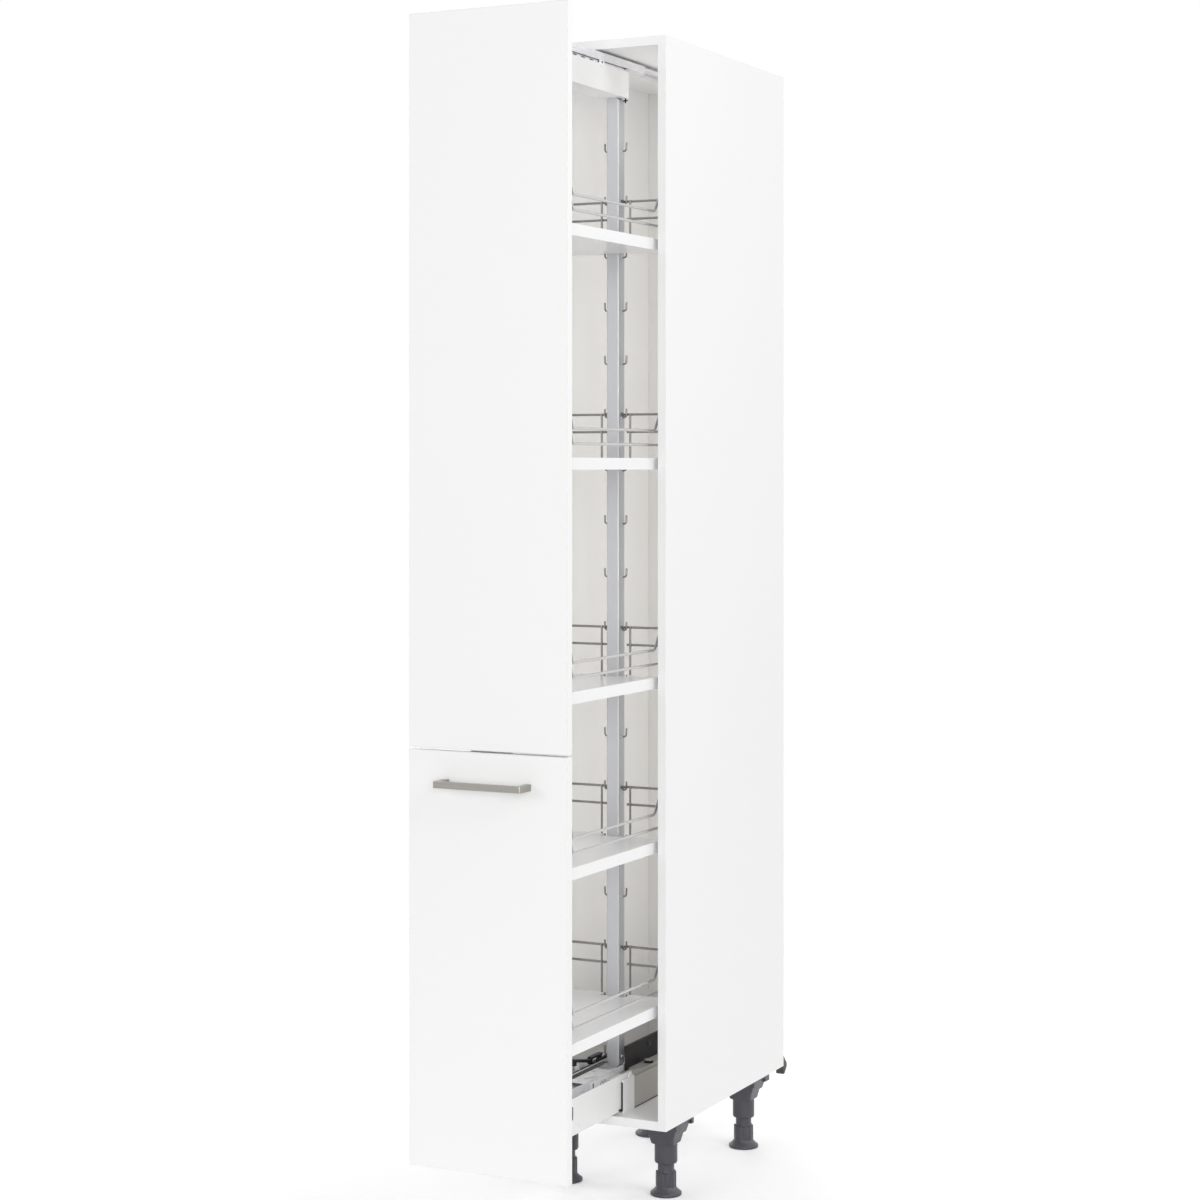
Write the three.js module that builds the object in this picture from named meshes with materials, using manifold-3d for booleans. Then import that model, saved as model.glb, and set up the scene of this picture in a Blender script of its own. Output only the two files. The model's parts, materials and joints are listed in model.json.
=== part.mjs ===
// Pull-out larder unit: a tall, narrow cabinet on levelling legs. Both fronts are screwed to a
// frame of two hook ladder posts that carries five railed trays. The frame rolls out on a
// telescopic runner on the cabinet floor and on a second one under the cabinet top.
// Units are millimetres. +Z is up, X runs across and the front faces -Y. Heights are measured
// from the carcass underside, depths from the carcass front edges.

import * as THREE from 'three';
import { mergeVertices } from 'three/addons/utils/BufferGeometryUtils.js';
import Module from 'manifold-3d';

const wasm = await Module();
wasm.setup();

// ---------------------------------------------------------------- driving dimensions

// carcass
const cabinetWidth = 300;
const cabinetDepth = 540;
const cabinetHeight = 1912;
const boardThickness = 16;
const backThickness = 3;
const backInset = 7; // from the rear edges to the back panel
const grooveDepth = 6;
const grooveClearance = 0.25;

// levelling legs
const legHeight = 136;
const rightLegInset = 41; // leg axis to the carcass side
const leftLegInset = 61.5;
const frontLegDepth = 88;
const rearLegDepth = 439;
const socketTopHalf = 38;
const socketWaistHalf = 28;
const socketCollarHalf = 21.5;
const socketFlange = 4;
const socketWaistDrop = 26;
const socketDrop = 43;
const barrelRadius = 20.5;
const barrelDrop = 79;
const barrelChamfer = 4;
const boreRadius = 15;
const boreTop = 12;
const stemClearance = 0.3;
const stemTop = 24;
const neckHeight = 13.5;
const knobHeight = 27.5;
const knobRadius = 18.5;
const fluteDepth = 1.3;
const fluteCount = 10;
const padRadius = 28;
const padEdge = 7;

// rear spacers at the two lower back corners
const spacerReach = 17;
const spacerRise = 21;
const spacerDrop = 16;
const spacerHeel = 6;
const spacerFaceTop = 3;
const spacerFaceBottom = -4;

// fronts and handle
const sideReveal = 2;
const closedGap = 3; // fronts to carcass edges, frame pushed in
const shownExtension = 353; // how far the frame is pulled out here
const lowerFrontHeight = 691;
const seamGap = 3;
const handleLength = 163;
const handleReach = 38;
const handleBar = 9;
const handleDrop = 52; // bar centre below the seam
const handleHeight = 11;
const handleFootWidth = 10;
const handleCorner = 3;
const screwRadius = 2;
const screwClearance = 0.3;
const screwHeadRadius = 4.5;
const screwHeadHeight = 3;
const screwBite = 12;

// hook ladder posts
const postSize = 25;
const postWall = 1.5;
const postCorner = 3;
const postEndRound = 8;
const frontPostDepth = 28;
const postSpacing = 432;
const hookPitch = 96;
const firstHookHeight = 96.2;
const hookWire = 3.5;
const hookRise = 16;
const hookEndMargin = 60; // post top to the highest hook, at least

// trays
const trayTopRow = 1; // hook rows left free above the top tray
const trayRowSteps = [4, 4, 3, 3]; // rows from each tray to the next, from the top down
const traySideGap = 9; // tray to the carcass side
const rimHeight = 20;
const rimThickness = 5;
const rimEndRound = 3;
const boardRecess = 8.25;
const trayBoard = 7;
const notchHalf = 25;
const notchClearance = 1.5;
const boardOverhang = 3;

// wire galleries
const railWire = 5;
const uprightWire = 4;
const endTopRail = 79;
const endLowRail = 47.5;
const sideTopRail = 48;
const sideLowRail = 23;
const rearSlopeAngle = 55;
const rearTopInset = 100; // rear end to the foot of the top rail's climb
const rearLowInset = 80;
const frontSlopeAngle = 75;
const frontInset = 24; // front end to the foot of the front climb
const uprightOffset = 28.6;
const weldDepth = 1; // an upright sinks this far into the rails it stands behind
const lowRailStart = 22;
const bushRadius = 3.25;
const bushLength = 7;
const hookSeatGap = 0.3;
const railHookGap = 0.5;
const cornerBend = 10;

// runners
const sheet = 1.5;
const railHalf = 25;
const glideGap = 0.3;
const stemHalf = 10;
const slotHalf = 14;
const fixedRailTop = 50; // lips of the fixed rail above the carcass underside
const movingRailLip = 58;
const movingRailWeb = 78;
const movingRailTop = 86;
const fixedRailStart = 24;
const fixedRailEnd = 510;
const bottomMidStart = 30;
const bottomMidLength = 440;
const movingRailEnd = 478;

// runner housing, collar and side covers
const housingHalf = 56;
const housingWallTop = 72;
const housingTop = 75;
const housingEnd = 520;
const channelHalf = 26;
const innerBoxHalf = 51;
const collarHalf = 57;
const collarWall = 2.5;
const collarStart = 20;
const collarEnd = 67;
const collarWallTop = 76;
const coverHalf = 53.5;
const coverBottom = 22;
const coverTop = 85;
const coverStep = 415; // where the cover steps down to its guided tail
const coverEnd = 515;
const coverTail = 70;
const guideKnobRadius = 7;
const guideKnobDepth = 52;
const guideKnobHeight = 77;
const bossRadius = 8;
const bossHeight = 8;
const bossOffset = 42;
const bossDepth = 158;

// damper channel, closing bar and catch
const damperWall = 2;
const damperTop = 117.5;
const damperStart = 90;
const damperBlockStart = 484;
const damperNose = 12;
const damperLead = 4;
const damperBoltRadius = 5;
const damperBoltDepth = 188;
const damperBoltDrop = 14; // bolt axis below the channel's edge
const damperBoltHead = 3;
const barWidth = 5;
const barBottom = 78;
const barEnd = 410;
const barTaper = 12;
const barClearance = 1;
const catchWidth = 16;
const catchGap = 0.3;
const catchStart = 22;
const catchBase = 3.5;
const catchChamfer = 3;
const catchCheek = 3;
const catchCheekReach = 9;
const stopStart = 34; // the stop that the lever rests on
const stopEnd = 56;
const pivotDepth = 130;
const pivotRadius = 2.5;
const pivotClearance = 0.3;
const leverEye = 7;
const leverEyeLength = 40; // pivot to the far centre of the long eye
const leverWindow = 3.5;
const leverHub = 5;
const leverTip = 18;
const leverTipHeight = 100;
const leverArm = 6;
const leverHook = 6;

// top runner and beam
const topRailDrop = 5.5; // carcass top to the telescopic member
const topMidHeight = 14;
const topMidStart = 6;
const topMidLength = 360;
const topFixedStart = 50;
const topFixedEnd = 500;
const beamCoverHalf = 24;
const beamCoverDrop = 25; // carcass top to the cover's upper edge
const beamCoverHeight = 47;
const beamCoverWall = 2;
const beamLength = 449;
const lidHole = 7;

// front brackets
const bracketPlate = 2;
const bracketHalf = 40;
const postBracketHeight = 90;
const postBracketSlope = 10;
const postBracketLug = 25;
const lowerBracketRise = 172; // bracket middle above the post's lower end
const upperBracketDrop = 134; // bracket middle below the post's upper end
const baseBracketEar = 18;
const baseBracketMargin = 6;

// ---------------------------------------------------------------- derived places

const innerHalf = cabinetWidth / 2 - boardThickness;
const topUnderside = cabinetHeight - boardThickness;
const floorTop = boardThickness;
const frontBack = -closedGap;
const frontFace = frontBack - boardThickness;
const bracketFace = frontBack + bracketPlate;
const rearPostDepth = frontPostDepth + postSpacing;
const postHalf = postSize / 2;
const headHalf = railHalf - sheet - glideGap;
const housingFloor = floorTop + sheet;
const barHalf = railHalf + barWidth;
const beamCoverTop = topUnderside - beamCoverDrop;
const beamCoverBottom = beamCoverTop - beamCoverHeight;
const galleryPlane = hookWire / 2 + railWire / 2 + railHookGap; // gallery behind its hooks
const bushSeat = hookWire / 2 + bushRadius + hookSeatGap; // bush axis above the hook axis
const bushX = postHalf + hookSeatGap + bushRadius;
const boardTop = -boardRecess;
const handleZ = lowerFrontHeight - handleDrop;
const handleFoot = handleLength / 2 - handleFootWidth / 2;
const hookHeight = (row) => firstHookHeight + row * hookPitch;
const postBottom = movingRailWeb;
const postTop = beamCoverBottom;
const hookRows = 1 + Math.floor((postTop - hookEndMargin - firstHookHeight) / hookPitch);
const trayWidth = 2 * (innerHalf - traySideGap);
const trayLift = bushSeat - endTopRail; // rim top above the hook that carries the tray
const seamHeight = lowerFrontHeight + seamGap / 2;

// ---------------------------------------------------------------- shape helpers

// A closed three.js geometry as a solid for the boolean library.
function solid(geometry) {
  geometry.deleteAttribute('normal');
  geometry.deleteAttribute('uv');
  const welded = mergeVertices(geometry, 1e-4);
  const index = welded.index.array;
  const kept = [];
  for (let i = 0; i < index.length; i += 3) {
    const [a, b, c] = [index[i], index[i + 1], index[i + 2]];
    if (a !== b && b !== c && c !== a) kept.push(a, b, c);
  }
  const vertProperties = Float32Array.from(welded.attributes.position.array);
  const triVerts = Uint32Array.from(kept);
  return new wasm.Manifold(new wasm.Mesh({ numProp: 3, vertProperties, triVerts }));
}

function join(shapes) {
  return shapes.reduce((whole, shape) => whole.add(shape));
}

// A block between two opposite corners.
function block(x0, x1, y0, y1, z0, z1) {
  const geometry = new THREE.BoxGeometry(x1 - x0, y1 - y0, z1 - z0);
  geometry.translate((x0 + x1) / 2, (y0 + y1) / 2, (z0 + z1) / 2);
  return solid(geometry);
}

function outline(points) {
  return new THREE.Shape(points.map(([a, b]) => new THREE.Vector2(a, b)));
}

function extrude(shape, depth, curveSegments = 4) {
  return new THREE.ExtrudeGeometry(shape, { depth, bevelEnabled: false, curveSegments });
}

// A section drawn in X and Z, run along Y.
function alongY(shape, y0, y1, curveSegments) {
  const turn = new THREE.Matrix4().makeBasis(
    new THREE.Vector3(1, 0, 0), new THREE.Vector3(0, 0, 1), new THREE.Vector3(0, -1, 0));
  return solid(extrude(shape, y1 - y0, curveSegments).applyMatrix4(turn).translate(0, y1, 0));
}

// A section drawn in Y and Z, run along X.
function alongX(shape, x0, x1, curveSegments) {
  const turn = new THREE.Matrix4().makeBasis(
    new THREE.Vector3(0, 1, 0), new THREE.Vector3(0, 0, 1), new THREE.Vector3(1, 0, 0));
  return solid(extrude(shape, x1 - x0, curveSegments).applyMatrix4(turn).translate(x0, 0, 0));
}

// A section drawn in X and Y, run along Z.
function alongZ(shape, z0, z1, curveSegments) {
  return solid(extrude(shape, z1 - z0, curveSegments).translate(0, 0, z0));
}

// A profile of [radius, height] points turned about a vertical axis.
function turned(profile, segments) {
  const points = profile.map(([r, z]) => new THREE.Vector2(r, z));
  return solid(new THREE.LatheGeometry(points, segments).rotateX(Math.PI / 2));
}

function cylinder(radius, z0, z1, segments = 16) {
  return turned([[0, z0], [radius, z0], [radius, z1], [0, z1]], segments);
}

function cylinderAlongX(radius, x0, x1, y, z, segments = 16) {
  return cylinder(radius, x0, x1, segments).rotate([0, 90, 0]).translate([0, y, z]);
}

function cylinderAlongY(radius, y0, y1, x, z, segments = 16) {
  return cylinder(radius, -y1, -y0, segments).rotate([90, 0, 0]).translate([x, 0, z]);
}

// A rectangle with round corners.
function roundRect(x0, x1, y0, y1, r) {
  const shape = new THREE.Shape();
  shape.moveTo(x0 + r, y0);
  shape.lineTo(x1 - r, y0);
  shape.absarc(x1 - r, y0 + r, r, -Math.PI / 2, 0);
  shape.lineTo(x1, y1 - r);
  shape.absarc(x1 - r, y1 - r, r, 0, Math.PI / 2);
  shape.lineTo(x0 + r, y1);
  shape.absarc(x0 + r, y1 - r, r, Math.PI / 2, Math.PI);
  shape.lineTo(x0, y0 + r);
  shape.absarc(x0 + r, y0 + r, r, Math.PI, Math.PI * 1.5);
  return shape;
}

// The outline of bent sheet metal: a line of centre points thickened by half the sheet each side.
function bentSheet(points, thickness = sheet) {
  const line = points.map(([a, b]) => new THREE.Vector2(a, b));
  const left = [];
  const right = [];
  line.forEach((point, i) => {
    const before = i > 0 ? point.clone().sub(line[i - 1]).normalize() : null;
    const after = i < line.length - 1 ? line[i + 1].clone().sub(point).normalize() : null;
    const a = before ?? after;
    const b = after ?? before;
    const normal = new THREE.Vector2(-a.y - b.y, a.x + b.x).normalize();
    const reach = thickness / 2 / normal.dot(new THREE.Vector2(-a.y, a.x));
    left.push(point.clone().addScaledVector(normal, reach));
    right.unshift(point.clone().addScaledVector(normal, -reach));
  });
  return new THREE.Shape([...right, ...left]);
}

// A curve through fixed stations, so that a bent wire gets faces only where it bends.
class BentLine extends THREE.Curve {
  constructor(stations) {
    super();
    this.stations = stations;
  }
  getPoint(t) {
    const last = this.stations.length - 1;
    const i = Math.min(Math.floor(t * last), last - 1);
    return this.stations[i].clone().lerp(this.stations[i + 1], t * last - i);
  }
  getPointAt(u) {
    return this.getPoint(u);
  }
  getTangentAt(u) {
    const last = this.stations.length - 1;
    const i = Math.round(u * last);
    const from = this.stations[Math.max(i - 1, 0)];
    const to = this.stations[Math.min(i + 1, last)];
    const here = this.stations[i];
    const before = here.clone().sub(from).normalize();
    const after = to.clone().sub(here).normalize();
    return before.add(after).normalize();
  }
}

// Round wire through corner points, each corner bent to its radius. Slight bends take one step.
function wire(corners, diameter, bends, sides = 5, stepsPerBend = 2) {
  const points = corners.map(([x, y, z]) => new THREE.Vector3(x, y, z));
  const stations = [points[0]];
  for (let i = 1; i < points.length - 1; i += 1) {
    const bend = bends[i - 1];
    const back = points[i - 1].clone().sub(points[i]).setLength(bend);
    const on = points[i + 1].clone().sub(points[i]).setLength(bend);
    const curve = new THREE.QuadraticBezierCurve3(
      points[i].clone().add(back), points[i], points[i].clone().add(on));
    const slight = back.angleTo(on) > Math.PI * 0.6;
    stations.push(...curve.getPoints(slight ? 1 : stepsPerBend));
  }
  stations.push(points[points.length - 1]);
  const section = new THREE.Shape();
  for (let i = 0; i < sides; i += 1) {
    const angle = ((i + 0.5) / sides) * Math.PI * 2;
    const [a, b] = [Math.cos(angle) * diameter / 2, Math.sin(angle) * diameter / 2];
    if (i === 0) section.moveTo(a, b);
    else section.lineTo(a, b);
  }
  const extrudePath = new BentLine(stations);
  return solid(new THREE.ExtrudeGeometry(section, { steps: stations.length - 1, extrudePath }));
}

function mirrorX(shape) {
  return shape.mirror([1, 0, 0]);
}

// ---------------------------------------------------------------- finishes

const finishes = {
  whiteBoard: { color: 0xf4f4f2, roughness: 0.45, metalness: 0 },
  backBoard: { color: 0xe6e3dc, roughness: 0.6, metalness: 0 },
  darkPlastic: { color: 0x4d4c52, roughness: 0.6, metalness: 0 },
  brownPlastic: { color: 0x4a433c, roughness: 0.7, metalness: 0 },
  blackPlastic: { color: 0x1f1f21, roughness: 0.5, metalness: 0 },
  whitePlastic: { color: 0xf1f1ef, roughness: 0.4, metalness: 0 },
  whiteSteel: { color: 0xefefed, roughness: 0.35, metalness: 0.1 },
  greySteel: { color: 0xc9c7c2, roughness: 0.45, metalness: 0.3 },
  zincSteel: { color: 0xc3c4c8, roughness: 0.35, metalness: 0.9 },
  postSteel: { color: 0xcbccd2, roughness: 0.4, metalness: 0.5 },
  chromeWire: { color: 0xd7d7d9, roughness: 0.2, metalness: 1 },
  brushedNickel: { color: 0xb7b1a8, roughness: 0.35, metalness: 0.95 },
  trayWhite: { color: 0xf3f3f3, roughness: 0.3, metalness: 0 },
};

function piece(name, shape, finish) {
  const { vertProperties, triVerts } = shape.getMesh();
  const geometry = new THREE.BufferGeometry();
  geometry.setAttribute('position', new THREE.Float32BufferAttribute(vertProperties, 3));
  geometry.setIndex(new THREE.Uint32BufferAttribute(triVerts, 1));
  const material = new THREE.MeshStandardMaterial({ ...finishes[finish], flatShading: true });
  const mesh = new THREE.Mesh(geometry, material);
  mesh.name = name;
  return mesh;
}

// ---------------------------------------------------------------- carcass

function backGroove(x0, x1, z0, z1) {
  const rear = cabinetDepth - backInset;
  return block(x0, x1, rear - backThickness - grooveClearance, rear + grooveClearance, z0, z1);
}

function sideBoard() {
  const side = block(innerHalf, cabinetWidth / 2, 0, cabinetDepth, 0, cabinetHeight);
  const overrun = 1;
  return side.subtract(
    backGroove(innerHalf - overrun, innerHalf + grooveDepth, -overrun, cabinetHeight + overrun));
}

function floorBoard() {
  const panel = block(-innerHalf, innerHalf, 0, cabinetDepth, 0, boardThickness);
  const overrun = 1;
  return panel.subtract(
    backGroove(-innerHalf - overrun, innerHalf + overrun, floorTop - grooveDepth, floorTop + overrun));
}

function backBoard() {
  const reach = grooveDepth - grooveClearance;
  const rear = cabinetDepth - backInset;
  return block(-innerHalf - reach, innerHalf + reach, rear - backThickness, rear,
    floorTop - reach, topUnderside + reach);
}

// A small wedge that keeps the carcass off the wall.
function rearSpacer() {
  const foot = cabinetDepth;
  const profile = outline([
    [foot, -spacerDrop], [foot + spacerHeel, -spacerDrop],
    [foot + spacerReach, spacerFaceBottom], [foot + spacerReach, spacerFaceTop],
    [foot, spacerRise],
  ]);
  return alongX(profile, innerHalf, cabinetWidth / 2);
}

function carcass() {
  const parts = [
    piece('side_right', sideBoard(), 'whiteBoard'),
    piece('side_left', mirrorX(sideBoard()), 'whiteBoard'),
    piece('bottom_panel', floorBoard(), 'whiteBoard'),
    piece('top_panel', floorBoard().mirror([0, 0, 1]).translate([0, 0, cabinetHeight]), 'whiteBoard'),
    piece('back_panel', backBoard(), 'backBoard'),
    piece('rear_spacer_right', rearSpacer(), 'brownPlastic'),
    piece('rear_spacer_left', mirrorX(rearSpacer()), 'brownPlastic'),
  ];
  return parts;
}

// ---------------------------------------------------------------- levelling legs

// A square frustum between two half widths.
function frustum(topHalf, bottomHalf, zTop, zBottom) {
  const geometry = new THREE.CylinderGeometry(
    topHalf * Math.SQRT2, bottomHalf * Math.SQRT2, zTop - zBottom, 4);
  geometry.rotateY(Math.PI / 4).rotateX(Math.PI / 2).translate(0, 0, (zTop + zBottom) / 2);
  return solid(geometry);
}

function legSocket() {
  const waist = -socketWaistDrop;
  const overlap = 0.5;
  const body = join([
    frustum(socketTopHalf, socketTopHalf, 0, -socketFlange),
    frustum(socketTopHalf - 4, socketWaistHalf, -socketFlange + overlap, waist),
    frustum(socketWaistHalf - 3, socketCollarHalf, waist + overlap, -socketDrop),
    turned([
      [0, -barrelDrop], [barrelRadius - barrelChamfer, -barrelDrop],
      [barrelRadius, -barrelDrop + barrelChamfer], [barrelRadius, -socketDrop + overlap],
      [0, -socketDrop + overlap],
    ], 16),
  ]);
  const bore = cylinder(boreRadius, -barrelDrop - 1, -boreTop, 16);
  return body.subtract(bore);
}

// The adjusting knob's outline: a circle with shallow flutes.
function flutedOutline() {
  const points = [];
  for (let i = 0; i < fluteCount * 2; i += 1) {
    const angle = (i / (fluteCount * 2)) * Math.PI * 2;
    const radius = i % 2 === 0 ? knobRadius - fluteDepth : knobRadius;
    points.push([Math.cos(angle) * radius, Math.sin(angle) * radius]);
  }
  return outline(points);
}

function legFoot() {
  const stem = boreRadius - stemClearance;
  const knobTop = -barrelDrop - neckHeight;
  const knobBottom = knobTop - knobHeight;
  const core = turned([
    [0, -legHeight], [padRadius - 2, -legHeight], [padRadius, -legHeight + 2],
    [padRadius, -legHeight + padEdge], [knobRadius, knobBottom], [knobRadius - 3, knobTop - 2],
    [stem, knobTop], [stem, -stemTop], [0, -stemTop],
  ], 16);
  return core.add(alongZ(flutedOutline(), knobBottom - 1, knobTop));
}

function legs() {
  const left = leftLegInset - cabinetWidth / 2;
  const right = cabinetWidth / 2 - rightLegInset;
  const places = [
    ['front_left', left, frontLegDepth], ['front_right', right, frontLegDepth],
    ['rear_left', left, rearLegDepth], ['rear_right', right, rearLegDepth],
  ];
  return places.flatMap(([corner, x, y]) => {
    const socket = piece(`leg_socket_${corner}`, legSocket(), 'darkPlastic');
    const foot = piece(`leg_foot_${corner}`, legFoot(), 'darkPlastic');
    socket.position.set(x, y, 0);
    foot.position.set(x, y, 0);
    return [socket, foot];
  });
}

// ---------------------------------------------------------------- bottom runner

function mirroredPair(shape) {
  return [shape, mirrorX(shape)];
}

// One hollow box beside the rail, the slot for the side cover and the outer wall.
function housingSection(outerHalf, wall, wallTop, y0, y1) {
  const box = roundlessBox(channelHalf, innerBoxHalf, housingFloor - sheet, housingTop);
  const half = [
    alongY(box, y0, y1),
    block(outerHalf - wall, outerHalf, y0, y1, floorTop, wallTop),
  ];
  return join([
    block(-outerHalf, outerHalf, y0, y1, floorTop, housingFloor),
    ...half.flatMap(mirroredPair),
  ]);
}

// A rectangular tube section with the sheet's wall.
function roundlessBox(x0, x1, z0, z1) {
  const shape = outline([[x0, z0], [x1, z0], [x1, z1], [x0, z1]]);
  const [a, b, c, d] = [x0 + sheet, x1 - sheet, z0 + sheet, z1 - sheet];
  shape.holes.push(new THREE.Path([[a, c], [a, d], [b, d], [b, c]].map(([x, z]) => new THREE.Vector2(x, z))));
  return shape;
}

function runnerHousing() {
  const body = housingSection(housingHalf, sheet, housingWallTop, collarEnd, housingEnd);
  const boss = cylinder(bossRadius, housingTop - sheet / 2, housingTop + bossHeight, 14)
    .translate([bossOffset, bossDepth, 0]);
  return body.add(boss);
}

function runnerCollar() {
  const body = housingSection(collarHalf, collarWall, collarWallTop, collarStart, collarEnd);
  const knob = cylinderAlongX(guideKnobRadius, collarHalf - collarWall, collarHalf,
    guideKnobDepth, guideKnobHeight, 14);
  return join([body, ...mirroredPair(knob)]);
}

function bottomFixedRail() {
  const wall = railHalf - sheet / 2;
  const lip = fixedRailTop - sheet / 2;
  const web = housingFloor + sheet / 2;
  const section = bentSheet([
    [-slotHalf, lip], [-wall, lip], [-wall, web], [wall, web], [wall, lip], [slotHalf, lip],
  ]);
  return alongY(section, fixedRailStart, fixedRailEnd);
}

// Two T heads back to back on a box stem: one runs in the fixed rail, one in the moving rail.
function bottomMidRail() {
  const [y0, y1] = [bottomMidStart, bottomMidStart + bottomMidLength];
  const head = (edge, plate) => {
    const [x, top] = [headHalf - sheet / 2, plate - sheet / 2];
    return alongY(bentSheet([[-x, edge], [-x, top], [x, top], [x, edge]]), y0, y1);
  };
  const lowHead = head(housingFloor + sheet + glideGap, fixedRailTop - sheet - glideGap);
  const highHead = head(movingRailLip + sheet + glideGap, movingRailWeb - sheet - glideGap);
  const stem = block(stemHalf - sheet, stemHalf, y0, y1,
    fixedRailTop - sheet * 2, movingRailWeb - sheet * 2);
  return join([lowHead, highHead, ...mirroredPair(stem)]);
}

function bottomMovingRail() {
  const wall = railHalf - sheet / 2;
  const [y0, y1] = [bracketFace, movingRailEnd];
  const side = alongY(bentSheet([
    [slotHalf, movingRailLip + sheet / 2], [wall, movingRailLip + sheet / 2], [wall, movingRailTop],
  ]), y0, y1);
  const web = block(-wall, wall, y0, y1, movingRailWeb - sheet, movingRailWeb);
  return join([web, ...mirroredPair(side)]);
}

function sideCover() {
  const cover = outline([
    [bracketFace, coverBottom], [coverEnd, coverBottom], [coverEnd, coverTail],
    [coverStep, coverTail], [coverStep, coverTop], [bracketFace, coverTop],
  ]);
  return alongX(cover, coverHalf - sheet, coverHalf);
}

// ---------------------------------------------------------------- damper channel and catch

function damperChannel() {
  const inner = channelHalf;
  const farInner = barHalf + barClearance;
  const wallProfile = outline([
    [damperStart, housingTop], [housingEnd, housingTop], [housingEnd, damperTop],
    [damperStart + damperLead, damperTop], [damperStart, damperTop - damperNose],
  ]);
  const nearWall = alongX(wallProfile, inner, inner + damperWall);
  const farWall = alongX(wallProfile, -farInner - damperWall, -farInner);
  const endBlock = block(-farInner - 1, inner + 1, damperBlockStart, housingEnd,
    housingTop, damperTop);
  const flange = block(inner + 1, innerBoxHalf - sheet, damperStart + damperNose, housingEnd,
    housingTop, housingTop + damperWall);
  const clearBoss = cylinder(bossRadius + 1, housingTop - 1, damperTop, 14)
    .translate([bossOffset, bossDepth, 0]);
  const bolt = cylinderAlongX(damperBoltRadius, inner + 1, inner + damperWall + damperBoltHead,
    damperBoltDepth, damperTop - damperBoltDrop, 12);
  return join([nearWall, farWall, endBlock, flange.subtract(clearBoss), bolt]);
}

function closingBar() {
  const profile = outline([
    [bracketFace, barBottom], [barEnd - barTaper, barBottom], [barEnd, barBottom + barTaper / 3],
    [barEnd, movingRailTop], [bracketFace, movingRailTop],
  ]);
  return alongX(profile, -barHalf, -railHalf);
}

const catchNear = -(barHalf + barClearance + damperWall + catchGap);
const catchFar = catchNear - catchWidth;
const pivotZ = housingTop + catchBase + pivotClearance + leverEye;
const leverRoot = pivotDepth - leverEyeLength - leverArm / 2;

// Height of the lever arm's underside at a depth.
function leverUnderside(y) {
  const rise = (leverRoot - y) / (leverRoot - leverTip - leverHook);
  return pivotZ - leverArm / 2 + rise * (leverTipHeight - pivotZ);
}

function catchBlock() {
  const base = alongX(outline([
    [catchStart, housingTop], [pivotDepth + catchCheekReach, housingTop],
    [pivotDepth + catchCheekReach, housingTop + catchBase],
    [catchStart + catchChamfer, housingTop + catchBase], [catchStart, housingTop + 1],
  ]), catchFar, catchNear);
  const stop = alongX(outline([
    [stopStart, housingTop], [stopEnd, housingTop],
    [stopEnd, leverUnderside(stopEnd) - pivotClearance],
    [stopStart, leverUnderside(stopStart) - pivotClearance],
  ]), catchFar + catchCheek, catchNear - catchCheek);
  const ear = catchCheekReach - catchCheek;
  const cheekShape = outline([
    [pivotDepth - catchCheekReach, housingTop], [pivotDepth + catchCheekReach, housingTop],
    [pivotDepth + ear, pivotZ + ear / 2], [pivotDepth + ear / 2, pivotZ + ear],
    [pivotDepth - ear / 2, pivotZ + ear], [pivotDepth - ear, pivotZ + ear / 2],
  ]);
  const bore = cylinderAlongX(pivotRadius + pivotClearance, catchFar - 1, catchNear + 1,
    pivotDepth, pivotZ, 14);
  return join([
    base,
    stop,
    alongX(cheekShape, catchFar, catchFar + catchCheek),
    alongX(cheekShape, catchNear - catchCheek, catchNear),
  ]).subtract(bore);
}

// A lever with a long open eye on the pivot pin, an arm that climbs to the front and a hooked tip.
function catchRocker() {
  const half = leverArm / 2;
  const arm = outline([
    [leverRoot, pivotZ - half], [leverRoot, pivotZ + half], [leverTip, leverTipHeight + half],
    [leverTip, leverTipHeight - half - leverHook],
    [leverTip + leverHook, leverTipHeight - half - leverHook],
    [leverTip + leverHook, leverTipHeight - half],
  ]);
  const [x0, x1] = [catchFar + catchCheek + catchGap, catchNear - catchCheek - catchGap];
  const [near, far] = [pivotDepth - leverEyeLength, pivotDepth];
  const eye = alongX(roundRect(near - leverEye, far + leverEye, pivotZ - leverEye,
    pivotZ + leverEye, leverEye - 0.01), x0, x1, 5);
  const window = alongX(roundRect(near - leverWindow, far - leverHub - leverWindow,
    pivotZ - leverWindow, pivotZ + leverWindow, leverWindow - 0.01), x0 - 1, x1 + 1, 4);
  const pin = cylinderAlongX(pivotRadius, catchFar, catchNear, pivotDepth, pivotZ, 14);
  return join([alongX(arm, x0, x1), eye]).subtract(window).add(pin);
}

// ---------------------------------------------------------------- top runner and beam

const topMidTop = topUnderside - topRailDrop;
const topMidBottom = topMidTop - topMidHeight;
const topMidWeb = (topMidTop + topMidBottom) / 2;

// A stem with a T head whose edges are turned towards the lips that carry it.
function headedSection(webZ, headZ, edgeZ) {
  const [head, stem] = [headHalf - sheet / 2, stemHalf - sheet / 2];
  return bentSheet([
    [-head, edgeZ], [-head, headZ], [-stem, headZ], [-stem, webZ],
    [stem, webZ], [stem, headZ], [head, headZ], [head, edgeZ],
  ]);
}

function topFixedRail() {
  const headZ = topMidWeb + sheet + glideGap;
  const edgeZ = topMidTop - sheet - glideGap;
  return alongY(headedSection(topUnderside - sheet / 2, headZ, edgeZ), topFixedStart, topFixedEnd);
}

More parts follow.
